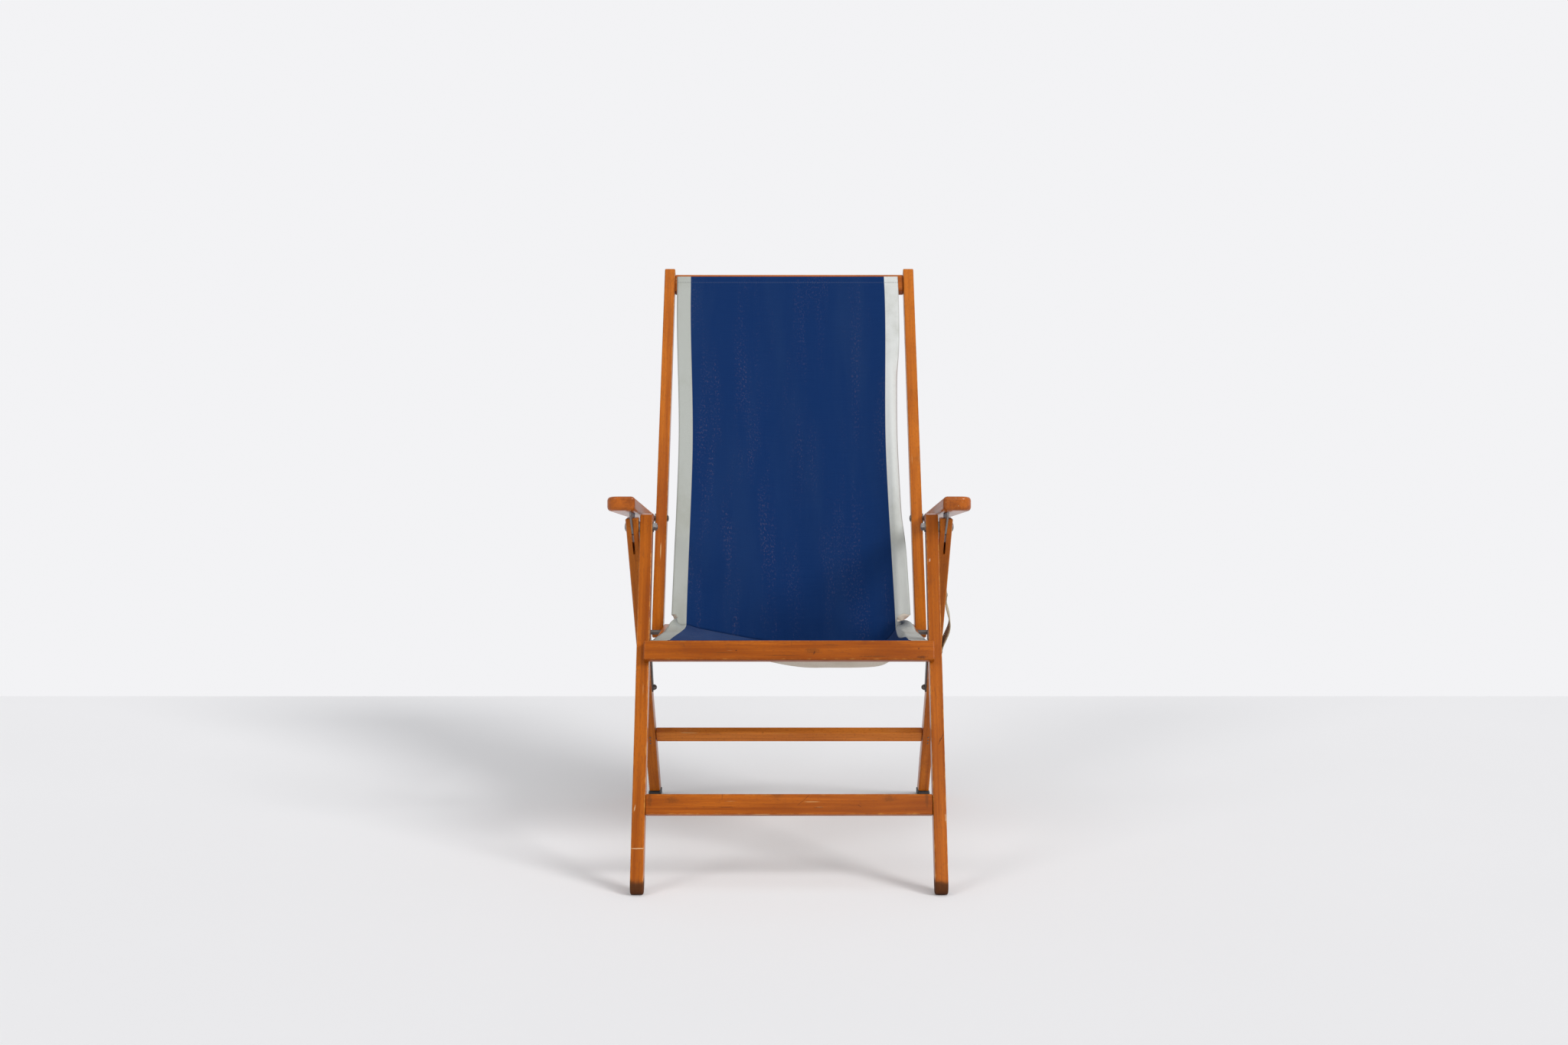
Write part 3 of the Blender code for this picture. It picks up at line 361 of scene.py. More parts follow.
def build_grain_group() -> None:
    """Beech grain along the third axis: soft bands, fine pores and short flecks."""
    nodes, given, results = group_new(
        "beech_grain",
        {"Vector": "Vector", "Light": "Color", "Dark": "Color"},
        {"Colour": "Color", "Height": "Float"},
    )
    vector = given["Vector"]
    bands = nodes.drawn(vector, (42.0, 42.0, 1.6), 3.0, 0.55)
    wander = nodes.drawn(vector, (9.0, 9.0, 4.5))
    pores = nodes.drawn(vector, (900.0, 900.0, 34.0), 2.0, 0.6)
    streaks = nodes.drawn(vector, (210.0, 210.0, 5.0), 3.0, 0.6)
    flecks = nodes.drawn(vector, (620.0, 620.0, 170.0), 0.0, shift=(3.0, 1.0, 2.0))
    tone = nodes.plus(nodes.times(bands, 0.55), nodes.times(wander, 0.40))
    tone = nodes.plus(tone, nodes.times(streaks, 0.42))
    base = nodes.mix(nodes.ramp(tone, 0.50, 0.86), given["Light"], given["Dark"])
    pore_mask = nodes.ramp(pores, 0.58, 0.74, 0.34)
    with_pores = nodes.mix(pore_mask, base, (0.11, 0.030, 0.006))
    fleck_mask = nodes.ramp(flecks, 0.64, 0.72, 0.30)
    nodes.feed(results["Colour"], nodes.mix(fleck_mask, with_pores, (0.19, 0.050, 0.008)))
    nodes.feed(results["Height"], nodes.minus(nodes.times(streaks, 0.5), pore_mask))


def build_wear_group() -> None:
    """Rubbed edges: a mask that grows where a bar's section comes to its corners."""
    nodes, given, results = group_new(
        "edge_wear", {"Section": "Vector", "Vector": "Vector", "Amount": "Float"}, {"Mask": "Float"}
    )
    across, deep, _ = nodes.parts(given["Section"])
    corner = nodes.math("MINIMUM", nodes.size(across), nodes.size(deep))
    ragged = nodes.noise(given["Vector"], 55.0, 4.0, 0.65)
    fine = nodes.noise(given["Vector"], 420.0)
    reach = nodes.plus(corner, nodes.times(nodes.minus(ragged, 0.5), 0.5))
    reach = nodes.plus(reach, nodes.times(nodes.minus(fine, 0.5), 0.12))
    worn = nodes.ramp(reach, 0.86, 1.02)
    nodes.feed(results["Mask"], nodes.times(worn, given["Amount"], clamp=True))


def build_grime_group() -> None:
    """Blotches of dirt and handling, and thin scratches."""
    nodes, given, results = group_new(
        "grime", {"Vector": "Vector", "Amount": "Float"}, {"Mask": "Float", "Scratch": "Float"}
    )
    vector = given["Vector"]
    blotch = nodes.noise(vector, 16.0, 5.0, 0.62)
    spots = nodes.noise(vector, 130.0)
    mask = nodes.plus(nodes.ramp(blotch, 0.54, 0.74), nodes.ramp(spots, 0.68, 0.76, 0.6))
    nodes.feed(results["Mask"], nodes.times(mask, given["Amount"], clamp=True))
    lines = nodes.drawn(vector, (300.0, 300.0, 12.0), 0.0, shift=(5.0, 2.0, 1.0))
    gate = nodes.ramp(nodes.noise(vector, 9.0, 1.0), 0.56, 0.62)
    nodes.feed(results["Scratch"], nodes.times(nodes.ramp(lines, 0.76, 0.80), gate))


def build_weave_group() -> None:
    """Plain weave on a flat map in metres: threads over and under, with slubs."""
    nodes, given, results = group_new(
        "cloth_weave",
        {"Vector": "Vector", "Pitch": "Float"},
        {"Gap": "Float", "Height": "Float", "Slub": "Float"},
    )
    vector = given["Vector"]
    turns = nodes.math("DIVIDE", math.pi, given["Pitch"])
    across, along, _ = nodes.parts(vector)
    warp = nodes.math("SINE", nodes.times(across, turns))
    weft = nodes.math("SINE", nodes.times(along, turns))
    threads = nodes.times(nodes.size(warp), nodes.size(weft))
    over = nodes.times(nodes.times(warp, weft), 0.35)
    nodes.feed(results["Gap"], nodes.ramp(threads, 0.42, 0.02))
    nodes.feed(results["Height"], nodes.plus(threads, over))
    warp_slub = nodes.drawn(vector, (900.0, 16.0, 1.0), 2.0, 0.6)
    weft_slub = nodes.drawn(vector, (14.0, 800.0, 1.0), 2.0, 0.6, (4.0, 7.0, 0.0))
    slub = nodes.plus(nodes.times(warp_slub, 0.4), nodes.times(weft_slub, 0.6))
    nodes.feed(results["Slub"], slub)


@dataclass(frozen=True)
class Mark:
    """One worn spot, scratch or patch of painted shadow on the front of the chair, seen in its
    upright plane.
    """

    x: float
    z: float
    half_width: float
    half_height: float
    slant: float
    colour: Colour
    strength: float = 0.85

    def paint(self, nodes: Nodes, place: Socket, ragged: Socket, colour: Socket) -> Socket:
        """Lay the mark over a colour.

        Args:
            nodes: The material's nodes.
            place: Object coordinates.
            ragged: Noise that frays the mark's outline.
            colour: Colour under the mark.

        Returns:
            The marked colour.
        """
        across, _, height = nodes.parts(place)
        up = nodes.minus(height, self.z)
        side = nodes.minus(nodes.minus(across, self.x), nodes.times(up, self.slant))
        wide = nodes.math("DIVIDE", side, self.half_width)
        tall = nodes.math("DIVIDE", up, self.half_height)
        squares = nodes.plus(nodes.times(wide, wide), nodes.times(tall, tall))
        reach = nodes.plus(nodes.math("SQRT", squares), nodes.times(ragged, MARK_FRAY))
        return nodes.mix(nodes.ramp(reach, *MARK_EDGE, self.strength), colour, self.colour)


PALE_WOOD = (0.66, 0.46, 0.26)
CHIPPED_WOOD = (0.66, 0.50, 0.36)
DARK_DENT = (0.060, 0.018, 0.006)
# Brown for real streaks on the rails, and for painted shadow at the front stretcher's ends.
BROWN_STREAK_AND_SHADE = (0.150, 0.042, 0.006)

# Each row: middle x and z, half width, half height, slant, colour and strength.
LEG_MARKS = (
    Mark(0.2440, 0.5340, 0.0016, 0.0036, 0.2, CHIPPED_WOOD, 0.6),
    Mark(0.2560, 0.2450, 0.0009, 0.0085, 0.55, DARK_DENT),
    Mark(0.2525, 0.2400, 0.0007, 0.0065, 0.30, DARK_DENT),
    Mark(0.2480, 0.3150, 0.0006, 0.0110, -0.12, DARK_DENT, 0.6),
    Mark(-0.2500, 0.0743, 0.0180, 0.0011, 0.0, PALE_WOOD, 0.7),
    Mark(-0.2560, 0.1360, 0.0012, 0.0060, 0.20, PALE_WOOD, 0.6),
    Mark(0.2590, 0.1210, 0.0010, 0.0080, 0.0, PALE_WOOD, 0.6),
)
# The front rail's marks come first, then those of the front stretcher, whose last two rows are
# painted shadow of the front legs at its ends.
RAIL_MARKS_AND_SHADE = (
    Mark(-0.0896, 0.3874, 0.0018, 0.0014, 0.0, DARK_DENT, 0.75),
    Mark(-0.1060, 0.3835, 0.0240, 0.0009, 0.0, BROWN_STREAK_AND_SHADE, 0.6),
    Mark(-0.1950, 0.3965, 0.0300, 0.0010, 0.0, BROWN_STREAK_AND_SHADE, 0.5),
    Mark(-0.0150, 0.3788, 0.0380, 0.0008, 0.0, BROWN_STREAK_AND_SHADE, 0.7),
    Mark(0.0042, 0.3995, 0.0006, 0.0070, 0.05, BROWN_STREAK_AND_SHADE, 0.7),
    Mark(0.0402, 0.3868, 0.0160, 0.0060, 0.0, BROWN_STREAK_AND_SHADE, 0.5),
    Mark(0.0425, 0.3838, 0.0014, 0.0034, 0.4, DARK_DENT, 0.8),
    Mark(0.0700, 0.3965, 0.0160, 0.0016, 0.0, BROWN_STREAK_AND_SHADE, 0.5),
    Mark(0.1450, 0.3778, 0.0360, 0.0014, 0.0, BROWN_STREAK_AND_SHADE, 0.8),
    Mark(0.2201, 0.3900, 0.0022, 0.0016, 0.0, DARK_DENT, 0.7),
    Mark(0.2240, 0.3765, 0.0110, 0.0030, 0.0, DARK_DENT, 0.6),
    Mark(-0.1953, 0.1475, 0.0140, 0.0060, -0.2, BROWN_STREAK_AND_SHADE, 0.5),
    Mark(-0.1414, 0.1600, 0.0028, 0.0009, 2.0, DARK_DENT, 0.6),
    Mark(-0.1113, 0.1530, 0.0007, 0.0080, 0.1, BROWN_STREAK_AND_SHADE, 0.7),
    Mark(-0.1050, 0.1368, 0.0170, 0.0008, 0.0, DARK_DENT, 0.6),
    Mark(-0.0209, 0.1545, 0.0130, 0.0060, 0.0, BROWN_STREAK_AND_SHADE, 0.45),
    Mark(0.0290, 0.1515, 0.0008, 0.0060, 1.1, DARK_DENT, 0.8),
    Mark(0.0190, 0.1435, 0.0008, 0.0050, 1.3, DARK_DENT, 0.7),
    Mark(0.0480, 0.1362, 0.0120, 0.0007, 0.0, DARK_DENT, 0.6),
    Mark(0.1170, 0.1385, 0.0010, 0.0034, -1.4, DARK_DENT, 0.7),
    Mark(0.1660, 0.1490, 0.0150, 0.0058, 0.0, BROWN_STREAK_AND_SHADE, 0.5),
    # Painted shadow of the front legs on the stretcher's two ends.
    Mark(0.2290, 0.1480, 0.0035, 0.0150, 0.0, BROWN_STREAK_AND_SHADE, 0.7),
    Mark(-0.2320, 0.1480, 0.0045, 0.0150, 0.0, BROWN_STREAK_AND_SHADE, 0.6),
)


@dataclass(frozen=True)
class BeechFinish:
    """Varnished beech of one group of pieces."""

    name: str
    light: Colour = (0.450, 0.118, 0.0080)
    dark: Colour = (0.250, 0.053, 0.0030)
    worn: Colour = (0.56, 0.24, 0.050)
    dirt: Colour = (0.15, 0.040, 0.010)
    scratch: Colour = (0.62, 0.38, 0.16)
    foot: Colour = (0.050, 0.021, 0.010)
    wear: float = 0.75
    grime: float = 0.45
    dark_foot_height: float = 0.0
    marks: tuple[Mark, ...] = ()
    coat: float = 0.11

    def build(self) -> None:
        """Make the material."""
        _, nodes, shader = material_new(self.name)
        grain, section = (
            nodes.add("Attribute", attribute_name=attribute.value).outputs["Vector"]
            for attribute in Attribute
        )
        place = nodes.object_place()
        wood = group_use(nodes, "beech_grain", Vector=grain, Light=self.light, Dark=self.dark)
        wear = group_use(nodes, "edge_wear", Section=section, Vector=grain, Amount=self.wear)
        grime = group_use(nodes, "grime", Vector=grain, Amount=self.grime)
        rubbed, dirty = wear["Mask"], grime["Mask"]
        colour = nodes.mix(rubbed, wood["Colour"], self.worn)
        colour = nodes.mix(nodes.times(dirty, 0.55), colour, self.dirt)
        colour = nodes.mix(nodes.times(grime["Scratch"], 0.6), colour, self.scratch)
        rough = nodes.plus(nodes.scaled(dirty, 0.25, 0.30), nodes.times(rubbed, 0.22), clamp=True)
        coat = nodes.minus(self.coat, nodes.times(rubbed, self.coat), clamp=True)
        ragged = nodes.noise(place, 420.0, 3.0)
        # Marks are real wear, except the rails' painted shadow at the front stretcher's ends.
        for mark in self.marks:
            colour = mark.paint(nodes, place, ragged, colour)
        if self.dark_foot_height > 0.0:
            soaked = self.foot_mask(nodes, place, grain)
            colour = nodes.mix(nodes.times(soaked, 0.88), colour, self.foot)
            rough = nodes.plus(rough, nodes.times(soaked, 0.35), clamp=True)
            coat = nodes.minus(coat, nodes.times(soaked, self.coat), clamp=True)
        nodes.fill(shader, {
            "Base Color": colour,
            "Roughness": rough,
            "Coat Weight": coat,
            "Coat Roughness": 0.12,
            "Specular IOR Level": 0.07,
            "Normal": nodes.bump(wood["Height"], 0.00025, 0.5),
        })

    def foot_mask(self, nodes: Nodes, place: Socket, grain: Socket) -> Socket:
        """Mask of the dark lower end of a leg.

        Args:
            nodes: The material's nodes.
            place: Object coordinates.
            grain: Coordinates along the grain.

        Returns:
            The mask, with a frayed upper edge.
        """
        _, _, height = nodes.parts(place)
        level = nodes.plus(height, nodes.times(nodes.noise(grain, 70.0, 3.0), 0.016))
        return nodes.ramp(level, self.dark_foot_height + 0.014, self.dark_foot_height + 0.004)


@dataclass(frozen=True)
class SteelFinish:
    """Plated or darkened steel of the fittings."""

    name: str
    colour: Colour
    stain: Colour
    roughness: float
    rust: float

    def build(self) -> None:
        """Make the material."""
        _, nodes, shader = material_new(self.name)
        place = nodes.object_place()
        cloud = nodes.noise(place, 260.0, 4.0, 0.6)
        spots = nodes.noise(place, 900.0)
        stained = nodes.ramp(cloud, 0.52, 0.72, self.rust)
        pitted = nodes.ramp(spots, 0.64, 0.72, 0.5)
        nodes.fill(shader, {
            "Base Color": nodes.mix(
                pitted, nodes.mix(stained, self.colour, self.stain), self.stain
            ),
            "Roughness": nodes.scaled(cloud, 0.35, self.roughness - 0.15),
            "Metallic": nodes.minus(1.0, nodes.times(stained, 0.7), clamp=True),
            "Normal": nodes.bump(spots, 0.0001, 0.35),
        })


@dataclass(frozen=True)
class RubberFinish:
    """Dull black rubber with dust in its grain."""

    name: str
    colour: Colour = (0.016, 0.016, 0.017)
    dust: Colour = (0.11, 0.105, 0.10)

    def build(self) -> None:
        """Make the material."""
        _, nodes, shader = material_new(self.name)
        place = nodes.object_place()
        cloud = nodes.noise(place, 120.0, 4.0, 0.6)
        grit = nodes.noise(place, 1500.0)
        nodes.fill(shader, {
            "Base Color": nodes.mix(nodes.ramp(cloud, 0.45, 0.75, 0.6), self.colour, self.dust),
            "Roughness": nodes.scaled(cloud, 0.35, 0.55),
            "Normal": nodes.bump(grit, 0.0002, 0.5),
        })


@dataclass(frozen=True)
class WebbingFinish:
    """Beige cotton webbing with a ribbed weave, in the strap's own UV map."""

    name: str
    colour: Colour = (0.66, 0.57, 0.42)
    shade: Colour = (0.42, 0.34, 0.22)
    rib: float = 0.0011

    def build(self) -> None:
        """Make the material."""
        _, nodes, shader = material_new(self.name)
        flat = nodes.flat_place()
        weave = group_use(nodes, "cloth_weave", Vector=flat, Pitch=self.rib)
        cloud = nodes.drawn(flat, (90.0, 90.0, 90.0), 4.0, 0.6)
        colour = nodes.mix(weave["Gap"], self.colour, self.shade)
        nodes.fill(shader, {
            "Base Color": nodes.mix(nodes.ramp(cloud, 0.42, 0.72, 0.55), colour, self.shade),
            "Roughness": 0.92,
            "Specular IOR Level": 0.2,
            "Normal": nodes.bump(weave["Height"], 0.0005, 0.8),
        })


@dataclass(frozen=True)
class CanvasFinish:
    """Blue canvas with a grey-green stripe along each selvedge, faded and scuffed."""

    name: str
    blue: Colour = (0.0030, 0.0280, 0.124)
    blue_faded: Colour = (0.0068, 0.0335, 0.129)
    blue_slub: Colour = (0.012, 0.044, 0.16)
    chalk: Colour = (0.085, 0.080, 0.150)
    stripe: Colour = (0.510, 0.530, 0.495)
    # Painted light: the right stripe is lighter than the left, and less so low on the back, where a
    # painted shadow of the arm falls.
    stripe_right: Colour = (0.800, 0.815, 0.795)
    stripe_right_low: Colour = (0.645, 0.665, 0.635)
    stripe_soiled: Colour = (0.36, 0.36, 0.29)
    stripe_slub: Colour = (0.42, 0.44, 0.40)
    selvedge: Colour = (0.33, 0.34, 0.29)
    thread_on_blue: Colour = (0.085, 0.115, 0.20)
    thread_on_stripe: Colour = (0.10, 0.10, 0.095)
    back_side: Colour = (0.78, 0.72, 0.62)
    back_side_soiled: Colour = (0.60, 0.53, 0.42)
    back_side_slub: Colour = (0.66, 0.60, 0.50)
    gap: Colour = (0.0, 0.0, 0.0)
    reverse: bool = False
    stripe_width: float = 0.0285
    pitch: float = 0.0010
    hem: float = 0.0140
    back_length: float = 0.8295
    stitch: float = 0.0036

    def build(self) -> None:
        """Make the material of the striped face, or that of the pale reverse."""
        _, nodes, shader = material_new(self.name)
        flat = nodes.flat_place()
        weave = group_use(nodes, "cloth_weave", Vector=flat, Pitch=self.pitch)
        slub = nodes.ramp(weave["Slub"], 0.34, 0.68)
        soil = nodes.drawn(flat, (11.0, 7.0, 1.0), 5.0, 0.62)
        if self.reverse:
            colour = self.reverse_colour(nodes, soil, slub)
        else:
            colour = self.face_colour(nodes, flat, soil, slub)
        height = nodes.plus(weave["Height"], nodes.times(weave["Slub"], 1.2))
        nodes.fill(shader, {
            "Base Color": nodes.mix(nodes.times(weave["Gap"], 0.34), colour, self.gap),
            "Roughness": 0.93,
            "Specular IOR Level": 0.05,
            "Sheen Weight": 0.03,
            "Sheen Roughness": 0.6,
            "Normal": nodes.bump(height, 0.00035, 0.7),
        })

    def face_colour(self, nodes: Nodes, flat: Socket, soil: Socket, slub: Socket) -> Socket:
        """Colour of the striped face.

        Args:
            nodes: The material's nodes.
            flat: Place on the flat cloth.
            soil: Noise of the soiled places.
            slub: Mask of the thicker threads.

        Returns:
            The colour of the field, the stripes, the selvedges and the hem's stitches.
        """
        across, along, _ = nodes.parts(flat)
        aside = nodes.size(across)
        edge = CLOTH_HALF_WIDTH - self.stripe_width
        on_stripe = nodes.ramp(aside, edge - 0.0006, edge + 0.0006)
        on_selvedge = nodes.ramp(aside, CLOTH_HALF_WIDTH - 0.0022, CLOTH_HALF_WIDTH - 0.0008, 0.35)
        blue = self.blue_colour(nodes, flat, slub)
        stripe = self.stripe_colour(nodes, across, along, soil, slub)
        colour = nodes.mix(on_stripe, blue, stripe)
        colour = nodes.mix(on_selvedge, colour, self.selvedge)
        thread = nodes.mix(on_stripe, self.thread_on_blue, self.thread_on_stripe)
        return nodes.mix(self.stitches(nodes, across, along), colour, thread)

    def blue_colour(self, nodes: Nodes, flat: Socket, slub: Socket) -> Socket:
        """Colour of the blue field, with chalky scuffs that are strongest low on the left.

        Args:
            nodes: The material's nodes.
            flat: Place on the flat cloth.
            slub: Mask of the thicker threads.

        Returns:
            The field's colour.
        """
        across, along, _ = nodes.parts(flat)
        fade = nodes.drawn(flat, (13.0, 2.2, 1.0), 3.0, 0.55, (0.4, 0.0, 0.0))
        blue = nodes.mix(nodes.ramp(fade, 0.40, 0.68), self.blue, self.blue_faded)
        blue = nodes.mix(nodes.times(slub, 0.22), blue, self.blue_slub)
        streaks = nodes.drawn(flat, (26.0, 3.0, 1.0), 3.0, 0.6, (2.0, 5.0, 0.0))
        specks = nodes.drawn(flat, (300.0, 170.0, 1.0), 4.0, 0.7)
        scuffs = nodes.times(nodes.ramp(streaks, 0.46, 0.70), nodes.ramp(specks, 0.50, 0.68))
        low_left = nodes.times(nodes.ramp(across, 0.04, -0.10), nodes.ramp(along, 0.78, 0.30))
        scuffs = nodes.times(scuffs, nodes.scaled(low_left, 0.45, 0.5), clamp=True)
        return nodes.mix(scuffs, blue, self.chalk)

    def stripe_colour(
        self, nodes: Nodes, across: Socket, along: Socket, soil: Socket, slub: Socket
    ) -> Socket:
        """Colour of the stripes, with painted light on the right one: paler than the left, and
        darker low down under a painted shadow of the arm.

        Args:
            nodes: The material's nodes.
            across: Distance across the cloth.
            along: Distance along the cloth.
            soil: Noise of the soiled places.
            slub: Mask of the thicker threads.

        Returns:
            The stripes' colour.
        """
        # Painted light on the right stripe, with a painted shadow of the arm low down.
        right = nodes.mix(nodes.ramp(along, 0.10, 0.50), self.stripe_right_low, self.stripe_right)
        clean = nodes.mix(nodes.ramp(across, -0.1, 0.1), self.stripe, right)
        stripe = nodes.mix(nodes.ramp(soil, 0.46, 0.72, 0.40), clean, self.stripe_soiled)
        return nodes.mix(nodes.times(slub, 0.16), stripe, self.stripe_slub)

    def stitches(self, nodes: Nodes, across: Socket, along: Socket) -> Socket:
        """Mask of the line of stitches across the hem at the sling's top.

        Args:
            nodes: The material's nodes.
            across: Distance across the cloth.
            along: Distance along the cloth.

        Returns:
            The mask.
        """
        off_line = nodes.size(nodes.minus(along, self.back_length - self.hem))
        dash = nodes.math("SINE", nodes.times(across, 2.0 * math.pi / self.stitch))
        return nodes.times(nodes.ramp(off_line, 0.0009, 0.0004), nodes.ramp(dash, -0.5, -0.1, 0.8))

    def reverse_colour(self, nodes: Nodes, soil: Socket, slub: Socket) -> Socket:
        """Colour of the pale reverse.

        Args:
            nodes: The material's nodes.
            soil: Noise of the soiled places.
            slub: Mask of the thicker threads.

        Returns:
            The reverse's colour.
        """
        soiled = nodes.ramp(soil, 0.40, 0.74, 0.6)
        colour = nodes.mix(soiled, self.back_side, self.back_side_soiled)
        return nodes.mix(nodes.times(slub, 0.2), colour, self.back_side_slub)


class Finish(Enum):
    """The chair's finishes, by the name of their material."""

    LEGS = "beech_front_legs"
    FRAME = "beech_frame"
    RAILS = "beech_rails"
    ARMS = "beech_arms"
    PALE_RAIL = "beech_rear_stretcher"
    STEEL = "plated_steel"
    DARK_STEEL = "dark_steel_fittings"
    RUBBER = "foot_rubber"
    STRAP = "strap_webbing"
    CANVAS = "sling_canvas"
    CANVAS_SEAT = "sling_canvas_seat"
    CANVAS_REVERSE = "sling_canvas_reverse"

    @property
    def material(self) -> bpy.types.Material:
        """Material of this finish."""
        return bpy.data.materials[self.value]


def build_finishes() -> None:
    """Make the shared effects and then every material of the chair."""
    build_grain_group()
    build_wear_group()
    build_grime_group()
    build_weave_group()
    finishes = (
        BeechFinish(
            Finish.LEGS.value, wear=0.8, grime=0.7, dark_foot_height=0.023, marks=LEG_MARKS
        ),
        BeechFinish(
            Finish.FRAME.value, (0.52, 0.145, 0.010), (0.31, 0.068, 0.0040), wear=0.75, grime=0.55
        ),
        BeechFinish(
            Finish.RAILS.value,
            (0.46, 0.118, 0.0080),
            (0.25, 0.053, 0.0030),
            wear=0.5,
            grime=0.65,
            marks=RAIL_MARKS_AND_SHADE,
        ),
        # Painted light: a paler beech for the rear stretcher, standing in for the right lamp's
        # light on it.
        BeechFinish(
            Finish.PALE_RAIL.value, (0.72, 0.230, 0.034), (0.46, 0.125, 0.015), wear=0.5, grime=0.45
        ),
        BeechFinish(
            Finish.ARMS.value,
            (0.45, 0.111, 0.0080),
            (0.25, 0.055, 0.0040),
            wear=0.4,
            grime=0.6,
            coat=0.3,
        ),
        SteelFinish(Finish.STEEL.value, (0.25, 0.24, 0.235), (0.12, 0.075, 0.045), 0.36, 0.4),
        SteelFinish(
            Finish.DARK_STEEL.value, (0.13, 0.12, 0.115), (0.085, 0.048, 0.028), 0.42, 0.5
        ),
        RubberFinish(Finish.RUBBER.value),
        WebbingFinish(Finish.STRAP.value),
        CanvasFinish(Finish.CANVAS.value),
        # Painted light: the seat's blue is lighter than the back's because the seat faces up to the
        # lamps.
        CanvasFinish(
            Finish.CANVAS_SEAT.value, blue=(0.0115, 0.040, 0.145), blue_faded=(0.024, 0.058, 0.170)
        ),
        CanvasFinish(Finish.CANVAS_REVERSE.value, reverse=True),
    )
    for finish in finishes:
        finish.build()
        LOG.info("finish %s", finish.name)


@dataclass(frozen=True)
class Pivots:
    """Places on the chair's turning axes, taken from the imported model."""

    leg: Vector
    seat: Vector
    back: Vector
    arm: Vector
    knob: Vector

    @classmethod
    def read(cls, frame: dict) -> Pivots:
        """Take the pivots from the joints, and from the fittings where no joint is.

        Args:
            frame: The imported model.

        Returns:
            The pivots.
        """
        place = {joint["name"]: Vector(joint["pos_m"]) for joint in frame["joints"]}
        return cls(
            leg=place["rear_frame_fold"],
            seat=place["seat_fold"],
            back=place["back_fold"],
            arm=in_side_view(middle_of("arm_washer_right")),
            knob=in_side_view(middle_of("stay_knob_right")),
        )


def middle_of(node: str) -> Vector:
    """Middle of a node's box."""
    low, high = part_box(node)
    return (Vector(low) + Vector(high)) / 2


def in_side_view(point: Vector) -> Vector:
    """The point brought to the chair's middle plane."""
    return Vector((0.0, point.y, point.z))


def flat_point(point: Vector) -> Vector:
    """Side view of a point, as (y, z)."""
    return Vector((point.y, point.z))


def both_sides(stem: str) -> tuple[str, ...]:
    """Names of a pair of nodes."""
    return tuple(f"{stem}_{side.word}" for side in Side)


def falloff(distance: float, reach: float) -> float:
    """Smooth fall from 1 at no distance towards 0 beyond the reach."""
    return math.exp(-((distance / reach) ** 2))


def eased(first: float, second: float, share: float) -> float:
    """Value between two others, eased at both ends."""
    share = min(max(share, 0.0), 1.0)
    return first + (second - first) * share * share * (3.0 - 2.0 * share)


def band(value: float, low: float, rise: float, fall: float, high: float) -> float:
    """Eased 0 to 1 between low and rise, and back to 0 between fall and high."""
    rising = eased(0.0, 1.0, (value - low) / (rise - low))
    return rising * eased(1.0, 0.0, (value - fall) / (high - fall))


def lengths_along(points: list[Vector]) -> list[float]:
    """Length of a line of points up to each of them, in metres."""
    steps = ((after - before).length for before, after in zip(points, points[1:]))
    return list(accumulate(steps, initial=0.0))


def sheet_length(rule: Rule) -> float:
    """Length of a sheet along its middle, in metres."""
    points = [rule(0.0, step / LENGTH_STEPS) for step in range(LENGTH_STEPS + 1)]
    return lengths_along(points)[-1]


def strap_length(strap: bpy.types.Object) -> float:
    """Length of the strap's long edge, in metres."""
    edge = [vertex.co for vertex in strap.data.vertices][:: STRAP_CELLS[0] + 1]
    return lengths_along(edge)[-1]


def frame_along(direction: Vector, across: Vector) -> Matrix:
    """Rotation whose third axis is the direction and whose first is as near across as it can be.

    Args:
        direction: Way the grain runs.
        across: Wanted first axis.

    Returns:
        A 3x3 matrix that takes a world vector to the piece's own axes.
    """
    third = direction.normalized()
    first = (across - third * across.dot(third)).normalized()
    return Matrix((first, third.cross(first), third))


def object_new(name: str, data: bpy.types.ID) -> bpy.types.Object:
    """Add an object to the scene.

    Args:
        name: Name of the object.
        data: Its mesh, light or camera.

    Returns:
        The new object.
    """
    made = bpy.data.objects.new(name, data)
    bpy.context.scene.collection.objects.link(made)
    return made


def piece_new(
    name: str, shape: bmesh.types.BMesh, *materials: bpy.types.Material
) -> bpy.types.Object:
    """Turn a bmesh into a piece, and free the bmesh.

    Args:
        name: Name of the piece.
        shape: Its shape.
        materials: Its materials, in the order of their places.

    Returns:
        The new piece.
    """
    mesh = bpy.data.meshes.new(name)
    shape.to_mesh(mesh)
    shape.free()
    for material in materials:
        mesh.materials.append(material)
    return object_new(name, mesh)


def smooth(piece: bpy.types.Object) -> None:
    """Shade every face smooth."""
    piece.data.polygons.foreach_set("use_smooth", [True] * len(piece.data.polygons))


def soften(piece: bpy.types.Object, angle: float) -> None:
    """Shade a piece smooth with sharp edges and face-weighted normals.

    Args:
        piece: The piece.
        angle: Edges are sharp past this many degrees.
    """
    smooth(piece)
    piece.data.set_sharp_from_angle(angle=math.radians(angle))
    weighted = piece.modifiers.new("face_weighted_normals", "WEIGHTED_NORMAL")
    weighted.keep_sharp = True
    weighted.weight = FACE_WEIGHT


def thicken(piece: bpy.types.Object, name: str, thickness: float) -> bpy.types.Modifier:
    """Give a smooth sheet its thickness, half on each side.

    Args:
        piece: The sheet.
        name: Name of the modifier.
        thickness: Its thickness.

    Returns:
        The modifier.
    """
    smooth(piece)
    solid = piece.modifiers.new(name, "SOLIDIFY")
    solid.thickness = thickness
    solid.offset = 0.0
    return solid


